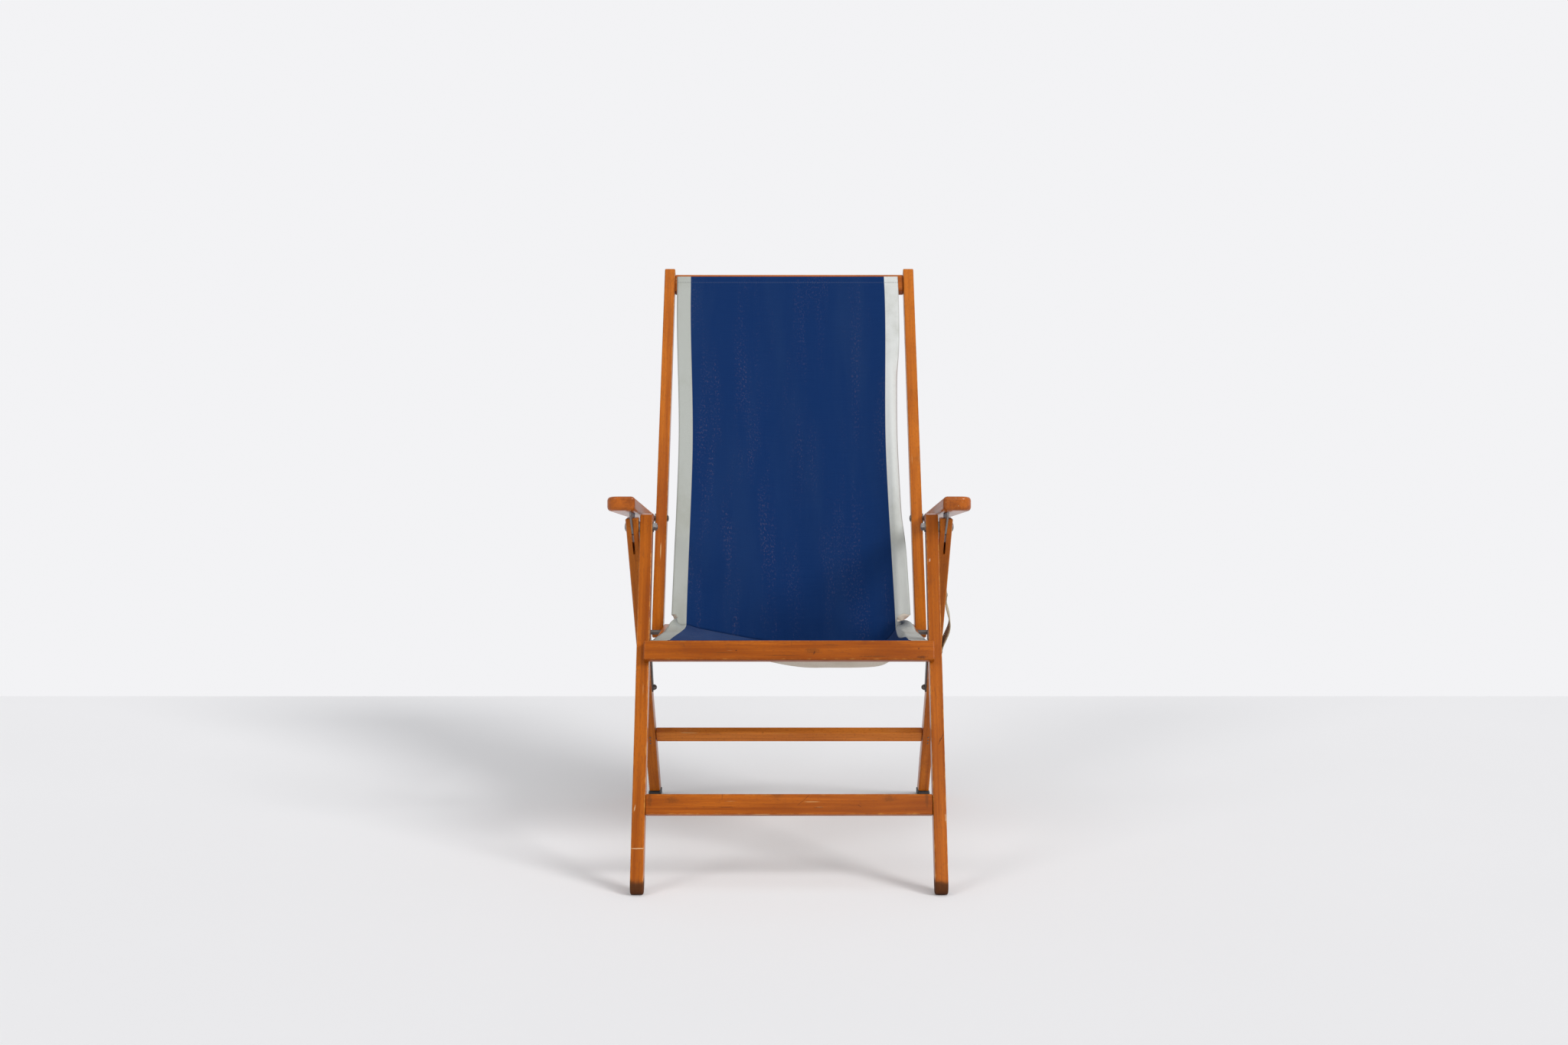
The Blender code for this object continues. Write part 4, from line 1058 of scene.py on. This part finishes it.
def solid_copy(node: str, flat_angle: float) -> bmesh.types.BMesh:
    """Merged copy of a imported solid, its flat faces joined.

    Args:
        node: Name of the solid.
        flat_angle: Faces that meet within this many degrees become one.

    Returns:
        The copy, which the caller frees.
    """
    shape = bmesh.new()
    shape.from_mesh(bpy.data.objects[node].data)
    bmesh.ops.remove_doubles(shape, verts=shape.verts, dist=MERGE_DISTANCE)
    limit = math.radians(flat_angle)
    bmesh.ops.dissolve_limit(shape, angle_limit=limit, verts=shape.verts, edges=shape.edges)
    return shape


def cloth_grid(
    cells: tuple[int, int], rule: Rule, flat: Callable[[float, float], tuple[float, float]]
) -> bmesh.types.BMesh:
    """Grid of cloth with its flat map in metres.

    Args:
        cells: Cells across and along.
        rule: Point for (across, along), from -1 to 1 and from 0 to 1.
        flat: Place on the flat cloth for the same.

    Returns:
        The grid, which the caller frees.
    """
    shape = bmesh.new()
    bmesh.ops.create_grid(shape, x_segments=cells[0], y_segments=cells[1], size=1.0)
    layer = shape.loops.layers.uv.new(FLAT_MAP)
    for face in shape.faces:
        for loop in face.loops:
            loop[layer].uv = flat(loop.vert.co.x, (loop.vert.co.y + 1.0) / 2.0)
    for vertex in shape.verts:
        vertex.co = rule(vertex.co.x, (vertex.co.y + 1.0) / 2.0)
    return shape


def stands_for(piece: bpy.types.Object, node: str, body: str) -> None:
    """Let a piece take a solid's place on its body.

    Args:
        piece: The piece.
        node: Name of the solid.
        body: Body that it moves with.
    """
    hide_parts(node)
    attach(piece, body)
    LOG.info("piece %s stands for %s on %s", piece.name, node, body)


def wood_piece(
    node: str, body: str, finish: Finish, grain: Vector, face: Vector = ACROSS
) -> None:
    """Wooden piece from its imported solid, with its grain and section written on its points.

    Args:
        node: Name of the solid.
        body: Body that it moves with.
        finish: Its varnish.
        grain: Way the grain runs, in world axes.
        face: Way that one of its faces looks.
    """
    piece = piece_new(node + "_wood", solid_copy(node, flat_angle=0.6), finish.material)
    axes = frame_along(grain, face)
    centre = middle_of(node)
    places = [axes @ (vertex.co - centre) for vertex in piece.data.vertices]
    reach = [max(abs(place[axis]) for place in places) for axis in range(3)]
    seed = random.Random(node)
    offset = Vector([seed.uniform(-spread, spread) for spread in GRAIN_SPREAD])
    grain_at = [part for place in places for part in place + offset]
    section_at = [place[axis] / reach[axis] for place in places for axis in range(3)]
    for attribute, values in ((Attribute.GRAIN, grain_at), (Attribute.SECTION, section_at)):
        layer = piece.data.attributes.new(attribute.value, "FLOAT_VECTOR", "POINT")
        layer.data.foreach_set("vector", values)
    soften(piece, angle=40.0)
    stands_for(piece, node, body)


def metal_piece(node: str, body: str, finish: Finish) -> None:
    """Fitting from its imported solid, with smooth rounds.

    Args:
        node: Name of the solid.
        body: Body that it moves with.
        finish: Its surface.
    """
    piece = piece_new(node + "_fitting", solid_copy(node, flat_angle=0.2), finish.material)
    soften(piece, angle=32.0)
    stands_for(piece, node, body)


@dataclass
class SubAssembly:
    """Wood and fittings that move with one body."""

    pivots: Pivots
    body: str

    def wood(
        self, nodes: Iterable[str], finish: Finish, grain: Vector, face: Vector = ACROSS
    ) -> None:
        """Dress wooden solids that share their grain."""
        for node in nodes:
            wood_piece(node, self.body, finish, grain, face)

    def fittings(self, nodes: Iterable[str], finish: Finish, slot: str) -> None:
        """Dress fittings that share their finish."""
        for node in nodes:
            metal_piece(node, self.body, finish)

    def pairs(self, stems: Iterable[str], finish: Finish, slot: str) -> None:
        """Dress the fittings of both sides that share their finish."""
        for stem in stems:
            self.fittings(both_sides(stem), finish, slot)


@dataclass
class FrontFrame(SubAssembly):
    """Front legs with their two rails and the fittings of their pivots."""

    body: str = "front_frame"

    def build(self) -> None:
        """Dress the wood and the fittings."""
        up = self.pivots.leg - self.pivots.seat
        self.wood(both_sides("front_leg"), Finish.LEGS, up)
        self.wood(("seat_front_rail", "front_stretcher"), Finish.RAILS, ACROSS, up)
        stems = ("leg_pivot_bolt", "leg_pivot_nut", "leg_pivot_washer")
        self.pairs(stems, Finish.STEEL, "steel")
        self.pairs(("seat_pivot_bolt",), Finish.DARK_STEEL, "dark_steel")


@dataclass
class RearFrame(SubAssembly):
    """Rear legs with their stretcher, rubber feet and carrying strap."""

    body: str = "rear_frame"
    strap_heights: tuple[float, float] = (0.456, 0.3375)
    strap_width: float = 0.022
    strap_thickness: float = 0.0020
    strap_tab: float = 0.0098
    strap_bulge: float = 0.0115
    strap_flat: float = 0.007
    strap_gap: float = 0.0003
    leg_outer: float = 0.2848
    leg_half_width: float = 0.0107
    leg_half_depth: float = 0.015
    nail_radius: float = 0.0016
    nail_steps: tuple[float, ...] = (-0.0095, 0.0, 0.0095)

    def build(self) -> None:
        """Dress the wood and the feet, and build the strap and the nails."""
        down = self.pivots.knob - self.pivots.leg
        self.wood(both_sides("rear_leg"), Finish.FRAME, down)
        self.wood(("rear_stretcher",), Finish.PALE_RAIL, ACROSS, down)
        self.pairs(("rear_foot",), Finish.RUBBER, "rubber")
        self.fittings(("strap_screw_upper", "strap_screw_lower"), Finish.STEEL, "steel")
        self.build_strap()
        self.build_nails()

    def down(self) -> Vector:
        """Direction down the rear leg."""
        return (self.pivots.knob - self.pivots.leg).normalized()

    def forward(self) -> Vector:
        """Direction out of the rear leg's front face."""
        down = self.down()
        return Vector((0.0, down.z, -down.y))

    def leg_place(self, height: float) -> Vector:
        """Place on the rear leg's axis at a height."""
        down = self.down()
        return self.pivots.leg + down * ((height - self.pivots.leg.z) / down.z)

    def strap_span(self) -> float:
        """Distance between the strap's screws."""
        upper, lower = (self.leg_place(height) for height in self.strap_heights)
        return (lower - upper).length

    def strap_place(self, across: float, along: float) -> Vector:
        """Point of the webbing, which bulges between its screws.

        Args:
            across: Place across it, from -1 to 1.
            along: Place along it, from 0 at the top to 1.

        Returns:
            The point.
        """
        span = self.strap_span()
        below = along * (span + 2 * self.strap_tab) - self.strap_tab
        share = (below - self.strap_flat) / (span - 2 * self.strap_flat)
        rise = self.strap_bulge * math.sin(math.pi * min(max(share, 0.0), 1.0)) ** 2
        place = self.leg_place(self.strap_heights[0]) + self.down() * below
        place += self.forward() * (across * self.strap_width / 2)
        place.x = self.leg_outer + self.strap_gap + self.strap_thickness / 2 + rise
        return place

    def build_strap(self) -> None:
        """Webbing that bulges from the outer face of the right rear leg."""
        length = self.strap_span() + 2 * self.strap_tab
        shape = cloth_grid(
            STRAP_CELLS,
            self.strap_place,
            lambda across, along: (across * self.strap_width / 2, along * length),
        )
        bmesh.ops.recalc_face_normals(shape, faces=shape.faces)
        strap = piece_new("carry_strap_webbing", shape, Finish.STRAP.material)
        thicken(strap, "webbing_thickness", self.strap_thickness)
        stands_for(strap, "carry_strap", self.body)
        strap_length(strap)

    def build_nails(self) -> None:
        """Small nail heads on the rear legs' front faces where the stretcher ends."""
        down, outward = self.down(), self.forward() * self.leg_half_depth
        low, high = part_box("rear_stretcher")
        middle = self.leg_place((low[2] + high[2]) / 2)
        for side in Side:
            shape = bmesh.new()
            for step in self.nail_steps:
                head = bmesh.ops.create_uvsphere(
                    shape, u_segments=12, v_segments=8, radius=self.nail_radius
                )
                place = middle + down * step + outward
                place.x = side.value * (self.leg_outer - self.leg_half_width)
                bmesh.ops.translate(shape, vec=place, verts=head["verts"])
            name = "stretcher_nails_" + side.word
            nails = piece_new(name, shape, Finish.DARK_STEEL.material)
            smooth(nails)
            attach(nails, self.body)
            LOG.info("piece %s on %s", name, self.body)


@dataclass
class Arms(SubAssembly):
    """Arm rests with the hinge plates under them."""

    body: str = "arms"
    grain_lift: float = 0.01

    def build(self) -> None:
        """Dress the arms and the plates."""
        for node in both_sides("armrest"):
            low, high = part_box(node)
            rise = self.pivots.arm.z - high[2] + self.grain_lift
            self.wood((node,), Finish.ARMS, Vector((0.0, high[1] - low[1], rise)))
        self.pairs(("arm_hinge_plate",), Finish.STEEL, "steel")


@dataclass
class Back(SubAssembly):
    """Reclined back posts with the top rail and the arms' bolts."""

    body: str = "back"

    def build(self) -> None:
        """Dress the wood and the fittings."""
        up = self.pivots.arm - self.pivots.back
        self.wood(both_sides("back_post"), Finish.FRAME, up)
        self.wood(("top_rail",), Finish.RAILS, ACROSS, up)
        self.pairs(("arm_bolt", "arm_washer"), Finish.DARK_STEEL, "steel")


@dataclass
class Seat(SubAssembly):
    """Side bars of the seat with their rear rail and bolts."""

    body: str = "seat"

    def build(self) -> None:
        """Dress the wood and the fittings."""
        rearward = self.pivots.back - self.pivots.seat
        self.wood(both_sides("seat_side_bar"), Finish.FRAME, rearward)
        self.wood(("seat_rear_rail",), Finish.RAILS, ACROSS, rearward)
        self.pairs(("back_pivot_bolt", "stay_bolt"), Finish.DARK_STEEL, "dark_steel")


@dataclass
class Stays(SubAssembly):
    """Steel stays with their domed nuts."""

    body: str = "stays"

    def build(self) -> None:
        """Dress the stays."""
        self.pairs(("stay_strap",), Finish.DARK_STEEL, "dark_steel")
        self.pairs(("stay_knob",), Finish.DARK_STEEL, "steel")


@dataclass(frozen=True)
class Ripple:
    """Even waves over a sheet."""

    height: float
    across: float
    along: float

    def at(self, across: float, along: float) -> float:
        """Height of the waves at a place."""
        return self.height * math.sin(across * self.across + along * self.along)


@dataclass(frozen=True)
class Crinkle:
    """Uneven rise and fall over a sheet."""

    height: float
    across: float
    along: float
    layer: float

    def at(self, across: float, along: float) -> float:
        """Height of the crinkles at a place."""
        place = Vector((across * self.across, along * self.along, self.layer))
        return self.height * noise.noise(place)


@dataclass
class Sling:
    """The striped canvas sling: a seat sheet and a back sheet that meet at the crease.

    Both sheets are written for across, -1 to 1, and along, 0 to 1, which runs from the front rail
    to the crease and from the crease to the top rail. Points of the side view are (y, z).
    """

    pivots: Pivots
    thickness: float = 0.0011
    clearance: float = 0.00045
    half_width: float = CLOTH_HALF_WIDTH
    half_width_front: float = 0.2365
    half_width_crease: float = 0.2253
    half_width_middle: float = 0.2200
    half_width_top: float = 0.2312
    shift_crease: float = 0.0038
    shift_top: float = -0.0036
    seat_cells: tuple[int, int] = (112, 84)
    back_cells: tuple[int, int] = (112, 184)

    front_post_depth: float = 0.032
    front_rail_top: float = 0.4206
    front_rail_thickness: float = 0.018
    front_rail_gap: float = 0.0003
    bar_depth: float = 0.022
    bar_free: float = 0.2060
    stile_above_arm: float = 0.573
    rail_drop: float = 0.031
    rail_height: float = 0.040
    rail_thickness: float = 0.018
    top_margin: float = 0.006

    lip: float = 0.03
    lip_start: float = 0.30
    seat_sag: float = 0.0430
    sag_offset: float = 0.050
    sag_rise: tuple[float, float] = (0.65, 9.0)
    seat_folds: Ripple = Ripple(0.006, 2.4, 46.0)
    seat_crinkle: Crinkle = Crinkle(0.0012, 16.0, 9.0, 2.0)
    taut_front: float = 6.0

    crease_from_back: float = 0.042
    crease_drop: float = 0.0235
    crease_seam: tuple[float, float] = (-0.0002, 0.0004)
    crease_reach: tuple[float, float] = (0.16, 0.09)
    bunch_reach: float = 0.13
    bunch_height: float = 0.011
    bunch_folds: Ripple = Ripple(0.5, 30.0, 14.0)

    back_sag: float = 0.010
    on_top_rail: float = 2.0 / 24.0
    back_waves: Ripple = Ripple(0.002, 9.0, 5.0)
    back_crinkle: Crinkle = Crinkle(0.0012, 14.0, 4.0, 5.0)
    curl_start: float = 0.90
    curl_width: float = 0.10
    curl_heights: tuple[float, float, float, float] = (0.14, 0.30, 0.66, 0.80)
    curl_rear: float = 0.012
    curl_inward: float = 0.004

    roll_start: float = 0.90
    roll_least: float = 0.001
    roll_on_seat: tuple[float, float] = (0.62, 0.36)
    roll_on_back: float = 0.022
    roll_turn_right: float = 185.0
    roll_turn_left: float = 95.0
    roll_waves_left: Ripple = Ripple(40.0, 0.0, 31.0)
    roll_lean: Vector = field(default_factory=lambda: Vector((-0.5, 0.866)))

    def __post_init__(self) -> None:
        """Work out the side view that the sling follows."""
        leg, seat = flat_point(self.pivots.leg), flat_point(self.pivots.seat)
        back, arm = flat_point(self.pivots.back), flat_point(self.pivots.arm)
        self.leg_up: Vector = (leg - seat).normalized()
        self.leg_rear: Vector = Vector((self.leg_up.y, -self.leg_up.x))
        self.leg_foot: Vector = leg - self.leg_up * (leg.y / self.leg_up.y)
        self.bar_rear: Vector = (back - seat).normalized()
        self.bar_up: Vector = Vector((-self.bar_rear.y, self.bar_rear.x))
        self.back_pivot: Vector = back
        self.stile_up: Vector = (arm - back).normalized()
        self.stile_front: Vector = Vector((-self.stile_up.y, self.stile_up.x))
        self.stile_top: Vector = arm + self.stile_up * self.stile_above_arm

    def over_front_rail(self, share: float) -> Vector:
        """Place over the front rail's upper face, from its front edge to its rear edge.

        Args:
            share: 0 at the front edge, 1 at the rear edge.

        Returns:
            The point of the side view.
        """
        offset = self.front_post_depth / 2 + self.front_rail_gap
        offset += self.front_rail_thickness * (1.0 - share)
        lift = self.clearance + self.thickness / 2
        return self.leg_foot + self.leg_up * (self.front_rail_top + lift) - self.leg_rear * offset

    def crease_side(self) -> Vector:
        """Place on the side bars' axis above the crease."""
        return self.back_pivot - self.bar_rear * self.crease_from_back

    def crease(self) -> Vector:
        """Lowest part of the crease, in front of the seat's rear rail."""
        return self.crease_side() - self.bar_up * self.crease_drop

    def side_height(self) -> float:
        """Height of the crease where the canvas lies on the side bars."""
        lift = self.bar_depth / 2 + 2 * self.clearance + self.thickness / 2
        return self.crease_side().y + lift / self.bar_up.y

    def hang_share(self, x: float) -> float:
        """Share of the free hang.

        Args:
            x: Place across the chair.

        Returns:
            1 on the lowest line, 0 from just inside the side bars on.
        """
        if x < self.sag_offset:
            reach = (self.sag_offset - x) / (self.sag_offset + self.bar_free)
            return eased(1.0, 0.0, reach) ** self.sag_rise[0]
        reach = (x - self.sag_offset) / (self.bar_free - self.sag_offset)
        return 1.0 - min(reach, 1.0) ** self.sag_rise[1]

    def bunch(self, across: float, along: float, near: float) -> float:
        """Height of the bunched folds at the rear corners of the seat.

        Args:
            across: Place across the sheet.
            along: Place along the seat, 1 at the crease.
            near: Share of the folds there, 1 at the crease.

        Returns:
            The height.
        """
        corner = falloff(1.0 - abs(across), self.bunch_reach) * near
        return self.bunch_height * corner * (0.5 + self.bunch_folds.at(across, along))

    def rolled(
        self, place: Vector, across: float, half: float, near: float, lean: Vector, along: float
    ) -> Vector:
        """Roll the sheet's outer edge up and inward near the rear corners of the seat.

        Args:
            place: Point of the sheet before the roll.
            across: Place across the sheet, -1 to 1.
            half: Half width of the sheet there.
            near: Share of the roll, 1 at the crease.
            lean: Way that the edge rises, as (y, z).
            along: Place along the sling, for the folds: up to 1 on the seat, then up to 2.

        Returns:
            The point on the rolled edge.
        """
        beyond = max(0.0, abs(across) - self.roll_start)
        if beyond == 0.0 or near < self.roll_least:
            return place
        side = math.copysign(1.0, across)
        length = beyond * half
        turn = self.roll_turn_left + self.roll_waves_left.at(0.0, along)
        turn = (self.roll_turn_right if side > 0.0 else turn) * near
        angle = turn * length
        way = lean.lerp(self.roll_lean, near).normalized() * ((1.0 - math.cos(angle)) / turn)
        x = place.x - side * length + side * math.sin(angle) / turn
        return Vector((x, place.y + way.x, place.z + way.y))

    def seat_place(self, across: float, along: float) -> Vector:
        """Point of the seat sheet.

        Args:
            across: Place across it.
            along: Place along it.

        Returns:
            The point.
        """
        half = eased(self.half_width_front, self.half_width_crease, along)
        x = across * half + self.shift_crease * along
        front, crease = self.over_front_rail(1.0), self.crease()
        if along < self.lip:
            place = self.over_front_rail(self.lip_start).lerp(front, along / self.lip)
            return Vector((x, place.x, place.y))
        span = (along - self.lip) / (1.0 - self.lip)
        y = front.x + (crease.x + self.crease_seam[0] - front.x) * span
        edge = front.y + (self.side_height() - front.y) * span
        sag = self.seat_sag * 4.0 * span * (1.0 - span)
        middle = front.y + (crease.y - front.y) * span - sag
        share = self.hang_share(x)
        near = falloff(1.0 - span, self.crease_reach[0])
        height = edge + (middle - edge) * share
        height += self.seat_folds.at(across, span) * near * share * (1.0 - span) * 4.0
        height += self.bunch(across, span, near)
        height += self.seat_crinkle.at(x, y) * share * min(span * self.taut_front, 1.0)
        roll_from, roll_over = self.roll_on_seat
        rolling = eased(0.0, 1.0, (span - roll_from) / roll_over)
        return self.rolled(Vector((x, y, height)), across, half, rolling, Vector((0.0, 1.0)), span)

    def back_half_width(self, along: float) -> float:
        """Half width of the back sheet, which is narrowest at its middle.

        Args:
            along: Place along the sheet.

        Returns:
            The half width.
        """
        middle = (1.0 - self.on_top_rail) / 2
        if along < middle:
            return eased(self.half_width_crease, self.half_width_middle, along / middle)
        return eased(self.half_width_middle, self.half_width_top, (along - middle) / middle)

    def back_line(self, x: float, across: float, along: float) -> Vector:
        """Stretched line of the back sheet before its hollow, folds and curls.

        Args:
            x: Place across the chair.
            across: Place across the sheet.
            along: Place along the sheet.

        Returns:
            The point of the side view, on the top rail's face at the end.
        """
        lift = self.rail_thickness / 2 + self.clearance + self.thickness / 2
        rail = self.stile_top - self.stile_up * self.rail_drop + self.stile_front * lift
        rail_foot = rail - self.stile_up * (self.rail_height / 2)
        rail_end = rail + self.stile_up * (self.rail_height / 2 - self.top_margin)
        side, crease = self.side_height(), self.crease()
        foot_height = side + (crease.y - side) * self.hang_share(x)
        foot_height += self.bunch(across, 1.0, falloff(along, self.crease_reach[1]))
        foot = Vector((crease.x + self.crease_seam[1], foot_height))
        panel = 1.0 - self.on_top_rail
        if along <= panel:
            return foot.lerp(rail_foot, along / panel)
        return rail_foot.lerp(rail_end, (along - panel) / (1.0 - panel))

    def back_place(self, across: float, along: float) -> Vector:
        """Point of the back sheet.

        Args:
            across: Place across it.
            along: Place along it.

        Returns:
            The point.
        """
        half = self.back_half_width(along)
        x = across * half + self.shift_crease + (self.shift_top - self.shift_crease) * along
        place = self.back_line(x, across, along)
        free = math.sin(math.pi * min(along / (1.0 - self.on_top_rail), 1.0))
        rear = self.back_sag * free * (1.0 - across * across)
        rear += self.back_waves.at(across, along) * free
        rear += self.back_crinkle.at(x, along) * free
        curl = max(0.0, across - self.curl_start) / self.curl_width
        curl *= band(along, *self.curl_heights)
        rear += self.curl_rear * curl * curl
        x -= self.curl_inward * curl * curl
        place = place - self.stile_front * rear
        rolling = eased(1.0, 0.0, along / self.roll_on_back)
        point = Vector((x, place.x, place.y))
        return self.rolled(point, across, half, rolling, self.stile_front, 1.0 + along)

    def sheet(
        self, name: str, cells: tuple[int, int], rule: Rule, finish: Finish
    ) -> bpy.types.Object:
        """Sheet of cloth whose points follow a rule, with its flat map in metres.

        Args:
            name: Name of the piece.
            cells: Cells across and along.
            rule: Point for (across, along).
            finish: Its striped face.

        Returns:
            The sheet, with its thickness as a modifier.
        """
        rows = cells[1]
        reach = lengths_along([rule(0.0, row / rows) for row in range(rows + 1)])
        LOG.info("%s is %.4f m long", name, reach[-1])
        shape = cloth_grid(
            cells,
            rule,
            lambda across, along: (across * self.half_width, reach[round(along * rows)]),
        )
        piece = piece_new(name, shape, finish.material, Finish.CANVAS_REVERSE.material)
        solid = thicken(piece, "cloth_thickness", self.thickness)
        solid.use_even_offset = True
        solid.material_offset = 1
        return piece

    def build(self) -> None:
        """Build and dress both sheets."""
        seat = self.sheet("sling_seat", self.seat_cells, self.seat_place, Finish.CANVAS_SEAT)
        back = self.sheet("sling_back", self.back_cells, self.back_place, Finish.CANVAS)
        for piece, node in ((seat, "canvas_seat"), (back, "canvas_back")):
            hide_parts(node)
            LOG.info("piece %s stands for %s", piece.name, node)
        front = self.over_front_rail(1.0)
        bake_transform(seat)
        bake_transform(back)
        sheet_length(self.seat_place)
        sheet_length(self.back_place)


@dataclass(frozen=True)
class Lamp:
    """Soft far light that shines at the floor under the chair."""

    name: str
    place: Triple
    breadth: float
    strength: float
    colour: Colour = (1.0, 1.0, 1.0)

    def build(self) -> None:
        """Hang the lamp."""
        light = bpy.data.lights.new(self.name, "SUN")
        light.angle = math.radians(self.breadth)
        light.energy = self.strength
        light.color = self.colour
        lamp = object_new(self.name, light)
        lamp.location = self.place
        lamp.rotation_euler = (-Vector(self.place)).to_track_quat("-Z", "Y").to_euler()


@dataclass
class Studio:
    """Pale floor and backdrop, soft lamps, and the camera at the photograph's angle."""

    camera_place: Triple = (0.0, -3.4206, 0.822)
    tilt: float = 88.0
    lens: float = 41.98
    sensor_width: float = 36.0
    shift: tuple[float, float] = (-0.00327, -0.0412)
    backdrop: Colour = (0.895, 0.895, 0.912)
    sky: Colour = (0.95, 0.97, 1.0)
    sky_strength: float = 0.39
    floor: tuple[Colour, Colour] = ((0.880, 0.875, 0.885), (0.905, 0.900, 0.910))
    floor_half_width: float = 5.0
    floor_rear: float = 1.53
    floor_front: float = -5.0
    lamps: tuple[Lamp, ...] = (
        Lamp("left_light", (-2.3, -2.4, 2.2), 20.0, 0.50, (1.0, 0.985, 0.97)),
        Lamp("right_light", (1.7, -1.5, 1.5), 19.0, 1.55, (1.0, 0.995, 0.99)),
        Lamp("front_light", (1.2, -3.6, 1.5), 36.0, 0.42),
        Lamp("top_light", (0.3, -0.9, 3.0), 45.0, 0.44),
    )

    def build(self) -> None:
        """Build the stage, the lamps and the camera."""
        self.build_floor()
        self.build_world()
        for lamp in self.lamps:
            lamp.build()
        self.build_camera()
        bpy.context.scene.view_settings.view_transform = "Standard"

    def build_floor(self) -> None:
        """Wide pale floor."""
        material, nodes, shader = material_new("studio_floor")
        cloud = nodes.noise(nodes.object_place(), 1.3, 3.0)
        nodes.fill(shader, {"Base Color": nodes.mix(cloud, *self.floor), "Roughness": 0.9})
        shape = bmesh.new()
        bmesh.ops.create_grid(shape, x_segments=1, y_segments=1, size=1.0)
        for vertex in shape.verts:
            vertex.co.x *= self.floor_half_width
            vertex.co.y = self.floor_rear if vertex.co.y > 0.0 else self.floor_front
        floor = piece_new("studio_floor", shape, material)

    def build_world(self) -> None:
        """Even light, with a near-white backdrop for the camera, gloss and glass."""
        world = bpy.data.worlds.new("studio_world")
        bpy.context.scene.world = world
        world.use_nodes = True
        nodes = Nodes(world.node_tree)
        light = world.node_tree.nodes["Background"]
        nodes.fill(light, {"Color": self.sky, "Strength": self.sky_strength})
        seen = nodes.add("Background")
        nodes.fill(seen, {"Color": self.backdrop, "Strength": 1.0})
        path = nodes.add("LightPath").outputs
        share = nodes.math("MAXIMUM", path["Is Camera Ray"], path["Is Glossy Ray"])
        share = nodes.math("MAXIMUM", share, path["Is Transmission Ray"])
        mixed = nodes.add("MixShader")
        for socket, value in zip(mixed.inputs, (share, light.outputs[0], seen.outputs[0])):
            nodes.feed(socket, value)
        nodes.feed(world.node_tree.nodes["World Output"].inputs["Surface"], mixed.outputs[0])

    def build_camera(self) -> None:
        """Camera at the photograph's place and angle."""
        data = bpy.data.cameras.new("photo_camera")
        data.lens = self.lens
        data.sensor_width = self.sensor_width
        data.sensor_fit = "HORIZONTAL"
        data.shift_x, data.shift_y = self.shift
        camera = object_new("photo_camera", data)
        camera.location = self.camera_place
        camera.rotation_euler = (math.radians(self.tilt), 0.0, 0.0)
        bpy.context.scene.camera = camera


def clear_scene() -> None:
    """Take away whatever the empty file holds."""
    for leftover in list(bpy.data.objects):
        bpy.data.objects.remove(leftover)


def main() -> None:
    """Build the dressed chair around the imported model."""
    logging.basicConfig(level=logging.INFO, format="%(name)s: %(message)s")
    clear_scene()
    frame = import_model()
    build_finishes()
    pivots = Pivots.read(frame)
    for part in (
        FrontFrame(pivots),
        RearFrame(pivots),
        Arms(pivots),
        Back(pivots),
        Seat(pivots),
        Stays(pivots),
        Sling(pivots),
        Studio(),
    ):
        part.build()
        LOG.info("%s done", type(part).__name__)


if __name__ == "__main__":
    main()
